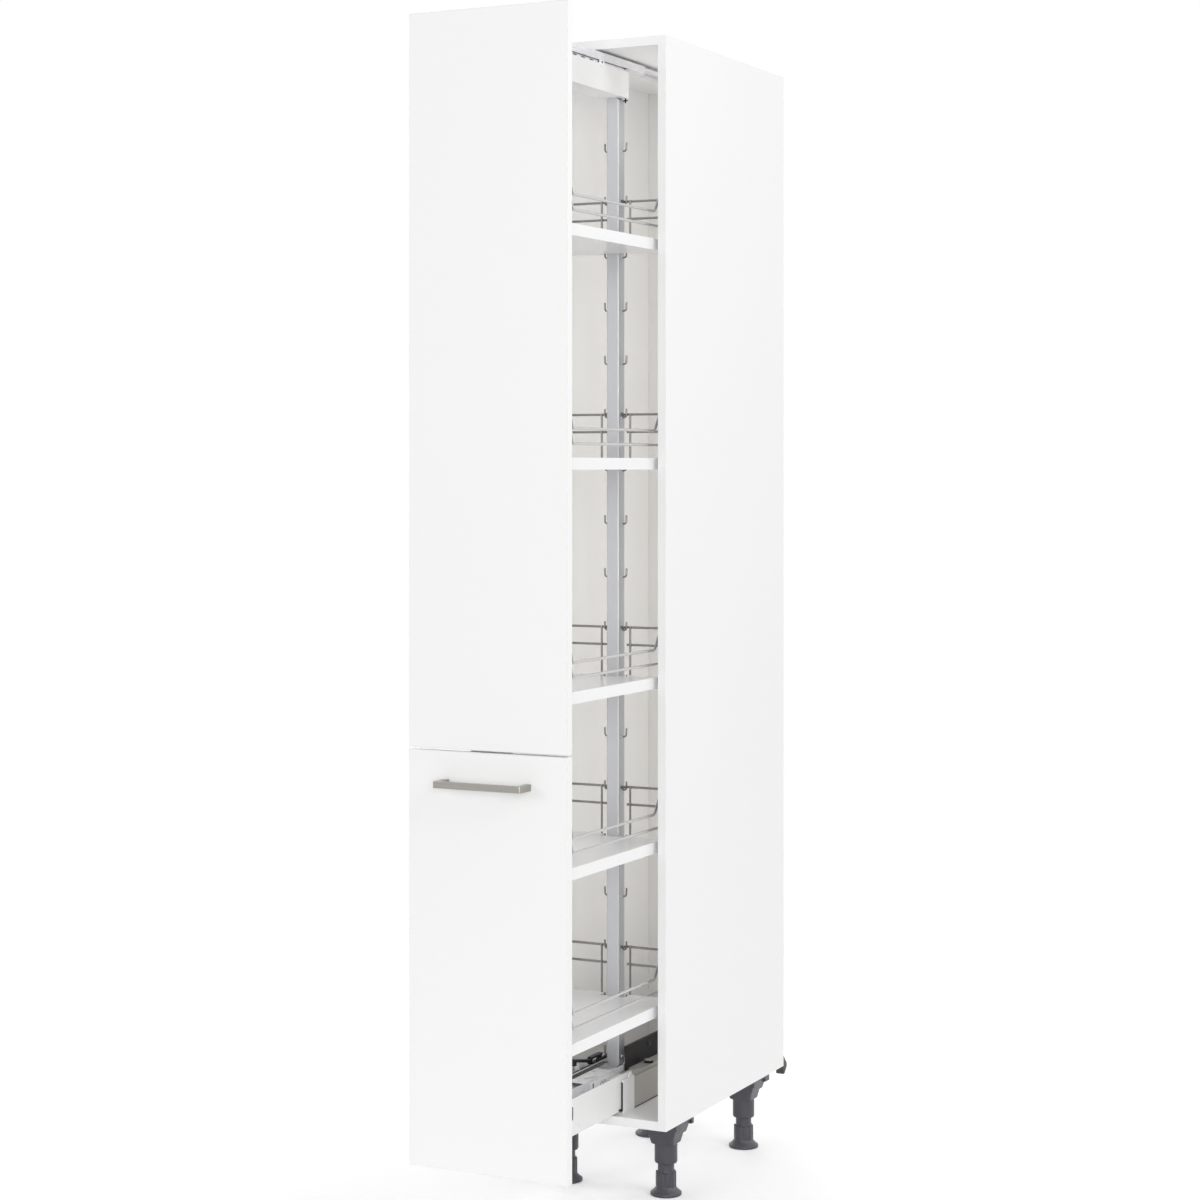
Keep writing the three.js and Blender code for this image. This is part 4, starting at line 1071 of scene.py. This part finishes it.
class LARDER_OT_legs(bpy.types.Operator):
    """Build the leg sockets and the screw feet"""

    bl_idname = "larder.legs"
    bl_label = "Levelling legs"

    def execute(self, context):
        flutes, flute_depth = 10, 1.5
        knob_rows, crown_rows, crown = range(8, 13), (11, 12), 1.6
        profile = [
            (25.5, -136), (27.4, -135.6), (28, -134.8), (28, -131.2), (27.2, -130.2),
            (25.0, -129.2), (21.0, -125.2), (18.0, -121.5), (18.5, -119.6), (18.5, -110.0),
            (18.5, -100.0), (18.3, -95.8), (17.2, -95.0), (15.2, -94.2), (14.7, -92.6),
            (14.7, -86.0), (14.7, -40.0)]

        def wave(row, angle):
            """Flutes round the knob, and the low crown on its top."""
            if row not in knob_rows:
                return 0.0, 0.0
            ridge = abs(math.sin(flutes * angle / 2))
            rise = crown if row in crown_rows and ridge > 0.75 else 0.0
            return -flute_depth * (1 - ridge ** 0.6), rise

        for corner in CORNERS:
            low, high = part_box(f"leg_socket_{corner}")
            datum = Vector(((low.x + high.x) / 2, (low.y + high.y) / 2, high.z))
            self.socket(corner, datum)
            foot = Drawing(f"foot_{corner}", datum).turned(profile, segments=80, wave=wave)
            foot.piece(f"leg_foot_{corner}_turned", "dark_plastic", [f"leg_foot_{corner}"],
                       smooth=44)
        return {"FINISHED"}

    def socket(self, corner, datum):
        """A stepped square funnel over a round barrel, with lugs and screws under its flange."""
        funnel = Drawing("cabinet", datum)
        rows = [(38, 3, 0), (38, 3, -4), (34.5, 3, -4.2), (34, 4, -5), (28.6, 5, -25),
                (28, 5, -26), (25.4, 6, -26.2), (25, 6, -27), (22.2, 9, -42), (21.5, 10, -43)]
        funnel.loft([
            [(x, y, z) for x, y in rounded_square(half, radius)] for half, radius, z in rows])
        across = 1 if corner.endswith("right") else -1
        along = 1 if corner.startswith("rear") else -1
        lug_edge, outer_lug, small_lug = 37.6, 20, 9
        for x_side in SIGNS:
            for y_side in SIGNS:
                outermost = x_side == across and y_side == along
                inner = lug_edge - (outer_lug if outermost else small_lug)
                funnel.block(
                    *span(x_side, lug_edge, inner), *span(y_side, lug_edge, inner), -13, -3.5)
        funnel.soften(0.5, 2, angle=60)
        barrel = [(16.0, -42), (20.5, -42), (20.5, -75), (20.2, -76.6), (19.2, -78.2),
                  (17.2, -79), (15.4, -79), (15.0, -78.4), (15.0, -60)]
        funnel.turned(barrel, segments=64)
        for x in (35, -35):
            for y in (14, -14):
                funnel.screw((x, y, -4), "Z", -1, 2.6, 1.4)
        funnel.piece(f"leg_socket_{corner}_moulding", "dark_plastic", [f"leg_socket_{corner}"])


# ---------------------------------------------------------------- runners


class LARDER_OT_bottom_runner(bpy.types.Operator):
    """Build the three members of the bottom runner and what is fixed to the moving one"""

    bl_idname = "larder.bottom_runner"
    bl_label = "Bottom runner"

    def execute(self, context):
        edge = context.scene.larder_sizes.sheet_edge / MM
        for node, body in (
                ("bottom_fixed_rail", "cabinet"), ("bottom_mid_rail", "bottom_mid_member"),
                ("bottom_moving_rail", "pullout_frame")):
            dressed_copy(node, body, "zinc_steel", edge)
        rail = node_box("bottom_moving_rail", PULLOUT)[1]
        plate = Drawing("pullout_frame")
        plan = rounded(rectangle(-23.3, 23.3, 286, 395), [3] * 4)
        slots = [oblong((sign * 10.5, 317), (sign * 19, 342), 5.5) for sign in SIGNS]
        plate.prism(plan, rail.z - 1.2, rail.z, "Z", slots + [circle((0, 372), 4)])
        plate.soften(0.2, 2, angle=60)
        plate.screw((0, 300, rail.z), "Z", 1, 3.8, 1.6)
        plate.piece("runner_top_plate", "white_steel")
        groove = Drawing("pullout_frame")
        groove_end = REAR_POST_Y - POST_HALF - 1
        groove.block(-19, -8, 8, groove_end, rail.z + 0.02, rail.z + 0.7)
        groove.piece("runner_top_groove", "black_plastic")
        face = rounded(rectangle(309, 375, 68.6, 81.5), [2] * 4)
        clip_face = rail.x + 0.6
        keyhole_y, low, high = 318.5, 71.6, 77.4
        keyhole = oblong((keyhole_y, low), (keyhole_y, high), 4.4)
        # A black patch behind the keyhole is painted shade in the hollow behind the hole.
        behind = oblong((keyhole_y, low - 0.2), (keyhole_y, high + 0.2), 5.0)
        # a loop pressed in the clip, drawn in black as painted shade of its relief, as steps along
        # the rail and heights
        loop = ((0, 70.6), (3, 75.4), (9, 75.4), (8, 71.2))
        for side, sign in SIDES:
            clip = Drawing("pullout_frame")
            clip.prism(face, *span(sign, rail.x, clip_face), "X", [keyhole])
            clip.soften(0.15, 1, angle=60).piece(f"runner_clip_{side}", "white_steel")
            shade = Drawing("pullout_frame")
            shade.prism(behind, *span(sign, rail.x + 0.02, rail.x + 0.3), "X")
            for start in (346.5, 357.5):
                path = on_side(sign, [(clip_face - 0.1, start + y, z) for y, z in loop])
                shade.wire(bent_path(path, [1.6, 1.6]), 0.5, 8, start_tip=True, end_tip=True)
            shade.piece(f"runner_clip_{side}_keyhole", "black_plastic")
        return {"FINISHED"}


class LARDER_OT_housing(bpy.types.Operator):
    """Build the housing of the bottom runner and the collar at its front"""

    bl_idname = "larder.housing"
    bl_label = "Runner housing"

    def execute(self, context):
        sizes = context.scene.larder_sizes
        boss = (*BOSS, 0)
        washer = [(9.6, 74.9), (9.4, 75.7), (8.06, 76.1)]
        cap = [(8.06, 81.4), (8.2, 81.5), (8.2, 82.8), (7.9, 83.05)]
        housing = Drawing("cabinet").copy("runner_housing").soften(sizes.sheet_edge / MM)
        for rows in (washer, cap):
            housing.turned(rows, boss, segments=sizes.turned_sides)
        housing.piece("runner_housing_dressed", "grey_steel", ["runner_housing"])
        sleeve = [(8.2, 75.9), (8.5, 76.1), (8.5, 81.0), (8.2, 81.4)]
        Drawing("cabinet").turned(sleeve, boss, segments=sizes.turned_sides).piece(
            "runner_boss_sleeve", "black_plastic")
        knob = [(7.06, 54.4), (7.06, 56.6), (6.4, 57.15), (3.4, 57.15), (3.0, 56.6), (2.4, 56.4)]
        wedge = [(6, 25.8), (19.6, 25.8), (19.6, 20.4), (16, 20.4)]
        collar = Drawing("cabinet").copy("runner_collar").soften(sizes.moulded_edge / MM, 3)
        for sign in SIGNS:
            collar.turned([(r, sign * x) for r, x in knob], (0, 52, 77), "X", sizes.turned_sides)
        collar.piece("runner_collar_dressed", "white_plastic", ["runner_collar"])
        slit, foot = rectangle(19.0, 20.2, 21, 72), rectangle(70, 518, 16.05, 17.8)
        # Black strips at the collar's front, in the slit and as a wedge at its bottom, are painted
        # shade of the gap between the collar and the side cover.
        lip = Drawing("cabinet").both_sides(slit, 53.9, 56.8).both_sides(wedge, 53.7, 54.6)
        lip.soften(0.2, 1).piece("runner_collar_lip", "black_plastic")
        # A black strip along the housing's foot is a painted shadow under its bottom edge.
        Drawing("cabinet").both_sides(foot, 56.0, 56.5).piece(
            "runner_housing_foot", "black_plastic")
        return {"FINISHED"}


class LARDER_OT_side_covers(bpy.types.Operator):
    """Build the side covers that travel with the frame"""

    bl_idname = "larder.side_covers"
    bl_label = "Side covers"

    def execute(self, context):
        edge = context.scene.larder_sizes.sheet_edge / MM
        low, high = node_box("side_cover_right", PULLOUT)
        step_y, step_z = 415, 70
        outline = rounded(
            [(low.y, low.z), (high.y, low.z), (high.y, step_z), (step_y, step_z),
             (step_y, high.z), (low.y, high.z)],
            [0, 4, 4, 3, 4, 0])
        holes = [oblong((209, 32), (209, 38), 2.6), circle((498, 46), 3)]
        glide = rounded(rectangle(158, 185, 49, 72), [2.5] * 4)
        for side, sign in SIDES:
            cover = Drawing("pullout_frame")
            cover.prism(outline, *span(sign, low.x, high.x), "X", holes)
            cover.soften(edge * 1.4, 3, angle=60)
            cover.piece(f"side_cover_{side}_plate", "white_steel", [f"side_cover_{side}"])
            slider = Drawing("pullout_frame")
            slider.prism(glide, *span(sign, high.x, high.x + 0.6), "X")
            slider.soften(0.25, 2, angle=60).piece(f"side_cover_{side}_slider", "black_plastic")
        return {"FINISHED"}


class LARDER_OT_damper(bpy.types.Operator):
    """Build the damper channel, the closing bar and the catch"""

    bl_idname = "larder.damper"
    bl_label = "Damper and catch"

    def execute(self, context):
        edge = context.scene.larder_sizes.moulded_edge / MM
        low, high = node_box("damper_channel", CABINET)
        wall, flange_x, end_block = 2, 27, 36
        wall_tops = ((flange_x - 1, high.z), (low.x, FAR_WALL_TOP))
        channel = Drawing("cabinet")
        for x, top in wall_tops:
            outline = [(low.y, low.z), (high.y, low.z), (high.y, top), (low.y + 4, top),
                       (low.y, top - 12)]
            channel.prism(outline, x, x + wall, "X")
        channel.block(low.x + 1, flange_x, high.y - end_block, high.y, low.z, high.z)
        channel.soften(edge * 0.7).piece(
            "damper_channel_walls", "black_plastic", ["damper_channel"])
        flange = Drawing("cabinet")
        flange.prism(rectangle(flange_x, high.x, low.y + 12, high.y), low.z, low.z + wall, "Z",
                     [circle(BOSS, 9)])
        flange.soften(edge * 0.5, 2, angle=60).piece("damper_channel_flange", "grey_steel")
        bolt_y, bolt_z = 188, 103.5
        bolt = Drawing("cabinet")
        bolt.turned([(4.8, 28.0), (4.8, 28.6), (4.4, 28.8)], (0, bolt_y, bolt_z), "X", 32)
        bolt.prism(circle((bolt_y, bolt_z), 3.6, 6), 28.8, 31.0, "X").soften(0.3, 2, angle=50)
        bolt.piece("damper_bolt", "dark_plastic")
        for node, body, slot, share in (
                ("closing_bar", "pullout_frame", "black_plastic", 0.7),
                ("catch_block", "cabinet", "zinc_steel", 0.5),
                ("catch_rocker", "catch_lever", "black_plastic", 0.5)):
            dressed_copy(node, body, slot, edge * share)
        return {"FINISHED"}


class LARDER_OT_top_guide(bpy.types.Operator):
    """Build the top runner, the beam and the cover over it"""

    bl_idname = "larder.top_guide"
    bl_label = "Top guide"

    def execute(self, context):
        sizes = context.scene.larder_sizes
        for node, body in (
                ("top_fixed_rail", "cabinet"), ("top_mid_rail", "top_mid_member"),
                ("top_beam", "pullout_frame")):
            dressed_copy(node, body, "zinc_steel", sizes.sheet_edge / MM)
        low, high = node_box("top_beam_cover", PULLOUT)
        arc, wall = 32, 2.0

        def plan(half, start):
            """The cover's outline, round behind the rear post."""
            points = [(-half, start), (half, start)]
            for step in range(arc + 1):
                angle = math.pi * step / arc
                points.append((half * math.cos(angle), REAR_POST_Y + half * math.sin(angle)))
            return points

        outer, inner = plan(high.x, low.y), plan(high.x - wall, low.y + 0.2)
        cover = Drawing("pullout_frame")
        levels = ((outer, low.z), (outer, high.z), (inner, high.z), (inner, low.z + wall))
        cover.loft([[(x, y, z) for x, y in section] for section, z in levels])
        cover.soften(0.7, 3, angle=50)
        cover.piece("top_beam_cover_shell", "white_plastic", ["top_beam_cover"])

        under = node_box("top_mid_rail", CABINET)[0].z
        glide = [(7.6, under + 0.5), (8.0, under + 0.2), (8.0, under - 0.3), (7.6, under - 0.5)]
        Drawing("top_mid_member").turned(
            glide, (16.5, 100, 0), segments=sizes.turned_sides
        ).piece("top_mid_rail_glide", "black_plastic")

        stop_start, stop_end, stop_face = 344, 362, 26
        bore_outline = circle((353, high.z + 2), 2.2)
        stop_outline = rounded(
            rectangle(stop_start, stop_end, high.z - 5, high.z + 6), [1.5] * 4)
        slots = [oblong((y, high.z + 2.0), (y + 14, high.z + 2.0), 2.0)
                 for y in range(24, 330, 32)]
        stop = Drawing("pullout_frame").both_sides(stop_outline, 24, stop_face, [bore_outline])
        stop.soften(0.4, 2, angle=60).piece("top_beam_stops", "white_plastic")
        # A black disc in the mouth of each stop's bore is painted shade inside the hole.
        bore = Drawing("pullout_frame")
        bore.both_sides(bore_outline, stop_face - 0.3, stop_face + 0.04)
        bore.piece("top_beam_stop_bores", "black_plastic")
        track = Drawing("pullout_frame")
        for start, end, holes in ((6, stop_start, slots), (stop_end, 450, [])):
            track.both_sides(
                rectangle(start, end, high.z - 1, high.z + 4.2), 20.4, 21.6, holes)
        track.soften(0.2, 1, angle=60).piece("top_beam_slotted_track", "zinc_steel")

        clip = Drawing("pullout_frame")
        clip.block(15.8, 18.2, 465, 467, low.z - 8.5, low.z + 0.4)
        clip.block(12.6, 21.4, 465, 467, low.z - 5.2, low.z - 2.8)
        clip.soften(0.5, 2).piece("top_beam_cover_clip", "black_plastic")
        return {"FINISHED"}


class LARDER_OT_brackets(bpy.types.Operator):
    """Build the brackets behind the fronts and their screws"""

    bl_idname = "larder.brackets"
    bl_label = "Front brackets"

    def execute(self, context):
        edge = context.scene.larder_sizes.sheet_edge / MM
        screw_y = -CLOSED_GAP + 2
        places = {}
        for level in ("lower", "middle", "upper"):
            low, high = node_box(f"post_bracket_{level}", PULLOUT)
            places[f"post_bracket_{level}"] = (
                (low.x + 9, high.x - 9), (low.z + 14, high.z - 14))
        places["base_bracket"] = ((36, -36), (36, 72))
        for node, (across, heights) in places.items():
            bracket = Drawing("pullout_frame").copy(node).soften(edge)
            for x in across:
                for z in heights:
                    bracket.screw((x, screw_y, z))
            bracket.piece(f"{node}_dressed", "zinc_steel", [node])
        return {"FINISHED"}


# ---------------------------------------------------------------- stage

# The camera's place in metres, its turn in degrees, its lens and sensor in millimetres and its
# shift as a share of the picture.
CAMERA_PLACE = (1.995554, -4.051758, 1.297861)
CAMERA_TURN = 26.346
CAMERA_LENS = 75.50
CAMERA_SHIFT = (-0.00165, -0.11226)
CAMERA_SENSOR = 36.0
WHITE, BLACK = (1.0, 1.0, 1.0, 1.0), (0.0, 0.0, 0.0, 1.0)
# The strength of the world as a light, and of the floor as seen near the unit and as a light
# far from it. The near floor fades into the far one between two distances.
AMBIENT = 0.5
FLOOR_HALF = 14.0
FLOOR_FADE = (0.5, 2.6)
NEAR_GLOW = 0.28
FAR_BOUNCE = 0.55
LIGHT_TARGET = Vector((0.0, 0.0, 1.0))
# Place, size and power of each soft light, and whether metal mirrors it.
LIGHTS = (
    ((3.4, -6.15, 1.5), 3.0, 160.0, True),
    ((5.0, -1.5, 4.0), 2.8, 100.0, True),
    ((-3.6, -5.4, 2.4), 2.6, 60.0, False),
    ((-5.6, 0.8, 2.8), 2.6, 90.0, True),
    ((-3.2, 4.6, 3.4), 2.6, 90.0, True),
    ((4.2, 3.6, 3.0), 2.6, 34.0, True),
)
# The lamps inside the cabinet: their depth or place in millimetres, power and colour.
FILL_DEPTH = (130.0, 520.0)
FILL_POWER = 1.25
FILL_COLOUR = (1.0, 0.97, 0.92)
CEILING_PLACE = (88.0, 165.0, HEIGHT - 200.0)
CEILING_SIZE = (0.09, 0.3)
CEILING_POWER = 0.09


def seen_rays(tree):
    """One for rays that are seen, mirrored or let through, none for rays that light."""
    rays = tree.nodes.new("ShaderNodeLightPath")
    seen = math_node(tree, "MAXIMUM", rays.outputs["Is Camera Ray"], rays.outputs["Is Glossy Ray"])
    return math_node(tree, "MAXIMUM", seen, rays.outputs["Is Transmission Ray"])


class LARDER_OT_stage(bpy.types.Operator):
    """Set the floor, the world, the lights and the camera"""

    bl_idname = "larder.stage"
    bl_label = "Stage"

    def execute(self, context):
        scene = context.scene
        scene.view_settings.view_transform = "Standard"
        self.floor(context)
        self.world(scene)
        for i, (place, size, power, mirrored) in enumerate(LIGHTS, start=1):
            self.lamp(f"Soft light {i}", Vector(place), LIGHT_TARGET, (size, size), power, mirrored)
        depth = (FILL_DEPTH[1] - FILL_DEPTH[0]) * MM
        wall = CABINET + MM * Vector((INNER - 1.5, sum(FILL_DEPTH) / 2, HEIGHT / 2))
        fill = self.lamp("Interior fill", wall, wall - Vector((1.0, 0.0, 0.0)),
                         (depth, (HEIGHT - 3 * BOARD) * MM), FILL_POWER, False)
        fill.color = FILL_COLOUR
        under = CABINET + MM * Vector(CEILING_PLACE)
        self.lamp("Ceiling fill", under, under + Vector((0.0, 0.0, 1.0)), CEILING_SIZE,
                  CEILING_POWER, False)
        camera = bpy.data.objects.new("Camera", bpy.data.cameras.new("Camera"))
        camera.location = CAMERA_PLACE
        camera.rotation_euler = (math.radians(90), 0.0, math.radians(CAMERA_TURN))
        camera.data.lens = CAMERA_LENS
        camera.data.sensor_width = CAMERA_SENSOR
        camera.data.shift_x, camera.data.shift_y = CAMERA_SHIFT
        camera.data.clip_end = 200.0
        scene.collection.objects.link(camera)
        scene.camera = camera
        return {"FINISHED"}

    def lamp(self, name, place, target, size, power, mirrored):
        """A soft light that the camera doesn't see."""
        lamp = bpy.data.lights.new(name, "AREA")
        lamp.shape, lamp.energy = "RECTANGLE", power
        lamp.size, lamp.size_y = size
        holder = bpy.data.objects.new(name, lamp)
        holder.location = place
        holder.rotation_euler = (target - place).to_track_quat("-Z", "Y").to_euler()
        holder.visible_camera = False
        holder.visible_glossy = mirrored
        bpy.context.scene.collection.objects.link(holder)
        return lamp

    def floor(self, context):
        """A pale floor that reads white and keeps the unit's shadow."""
        corners = rectangle(-FLOOR_HALF, FLOOR_HALF, -FLOOR_HALF, FLOOR_HALF)
        mesh = bpy.data.meshes.new("Floor")
        mesh.from_pydata([(x, y, 0) for x, y in corners], [], [(0, 1, 2, 3)])
        floor = bpy.data.objects.new("Floor", mesh)
        context.scene.collection.objects.link(floor)
        material = bpy.data.materials.new("Pale floor")
        material.use_nodes = True
        tree = material.node_tree
        shader = tree.nodes["Principled BSDF"].inputs
        colour = (*context.scene.larder_colours.floor, 1.0)
        place = stretched_place(tree, (1.0, 1.0, 1.0))
        paler = (*[c * 1.01 for c in colour[:3]], 1.0)
        near = mix_colours(tree, noise(tree, place, 3.0), colour, paler)
        reach = tree.nodes.new("ShaderNodeVectorMath")
        reach.operation = "LENGTH"
        tree.links.new(place, reach.inputs[0])
        fade = tree.nodes.new("ShaderNodeMapRange")
        fade.interpolation_type = "SMOOTHSTEP"
        tree.links.new(reach.outputs["Value"], fade.inputs["Value"])
        fade.inputs["From Min"].default_value, fade.inputs["From Max"].default_value = FLOOR_FADE
        far = fade.outputs["Result"]
        tree.links.new(mix_colours(tree, far, near, BLACK), shader["Base Color"])
        shader["Roughness"].default_value = 0.7
        shader["Specular IOR Level"].default_value = 0.0
        shader["Emission Color"].default_value = WHITE
        glow = mix_values(tree, far, NEAR_GLOW, 1.0)
        bounce = math_node(tree, "MULTIPLY", far, FAR_BOUNCE)
        tree.links.new(
            mix_values(tree, seen_rays(tree), bounce, glow), shader["Emission Strength"])
        mesh.materials.append(material)

    def world(self, scene):
        """White where it is seen or mirrored, a plain soft level where it lights."""
        world = bpy.data.worlds.new("Studio")
        world.use_nodes = True
        tree = world.node_tree
        background = tree.nodes["Background"]
        background.inputs["Color"].default_value = WHITE
        level = mix_values(tree, seen_rays(tree), AMBIENT, 1.0)
        tree.links.new(level, background.inputs["Strength"])
        scene.world = world


# ---------------------------------------------------------------- panel and start

BUILD_ORDER = (
    LARDER_OT_finishes, LARDER_OT_carcass, LARDER_OT_fronts, LARDER_OT_handle, LARDER_OT_posts,
    LARDER_OT_galleries, LARDER_OT_trays, LARDER_OT_legs, LARDER_OT_bottom_runner,
    LARDER_OT_housing, LARDER_OT_side_covers, LARDER_OT_damper, LARDER_OT_top_guide,
    LARDER_OT_brackets, LARDER_OT_stage)


class LARDER_PT_panel(bpy.types.Panel):
    """Lists the steps that build the unit, its sizes and its colours"""

    bl_idname = "LARDER_PT_panel"
    bl_label = "Pull-out larder unit"
    bl_space_type = "VIEW_3D"
    bl_region_type = "UI"
    bl_category = "Larder"

    def draw(self, context):
        layout = self.layout
        for step in BUILD_ORDER:
            layout.operator(step.bl_idname)
        for group in (context.scene.larder_sizes, context.scene.larder_colours):
            box = layout.box()
            for name in group.__annotations__:
                box.prop(group, name)


CLASSES = (LarderSizes, LarderColours, *BUILD_ORDER, LARDER_PT_panel)


def register():
    """Makes the classes and the two groups of properties known."""
    for item in CLASSES:
        bpy.utils.register_class(item)
    bpy.types.Scene.larder_sizes = PointerProperty(type=LarderSizes)
    bpy.types.Scene.larder_colours = PointerProperty(type=LarderColours)


def unregister():
    """Takes the properties and the classes away again."""
    del bpy.types.Scene.larder_colours
    del bpy.types.Scene.larder_sizes
    for item in reversed(CLASSES):
        bpy.utils.unregister_class(item)


def main():
    """Builds everything in order."""
    register()
    for step in BUILD_ORDER:
        space, name = step.bl_idname.split(".")
        getattr(getattr(bpy.ops, space), name)()


if __name__ == "__main__":
    main()
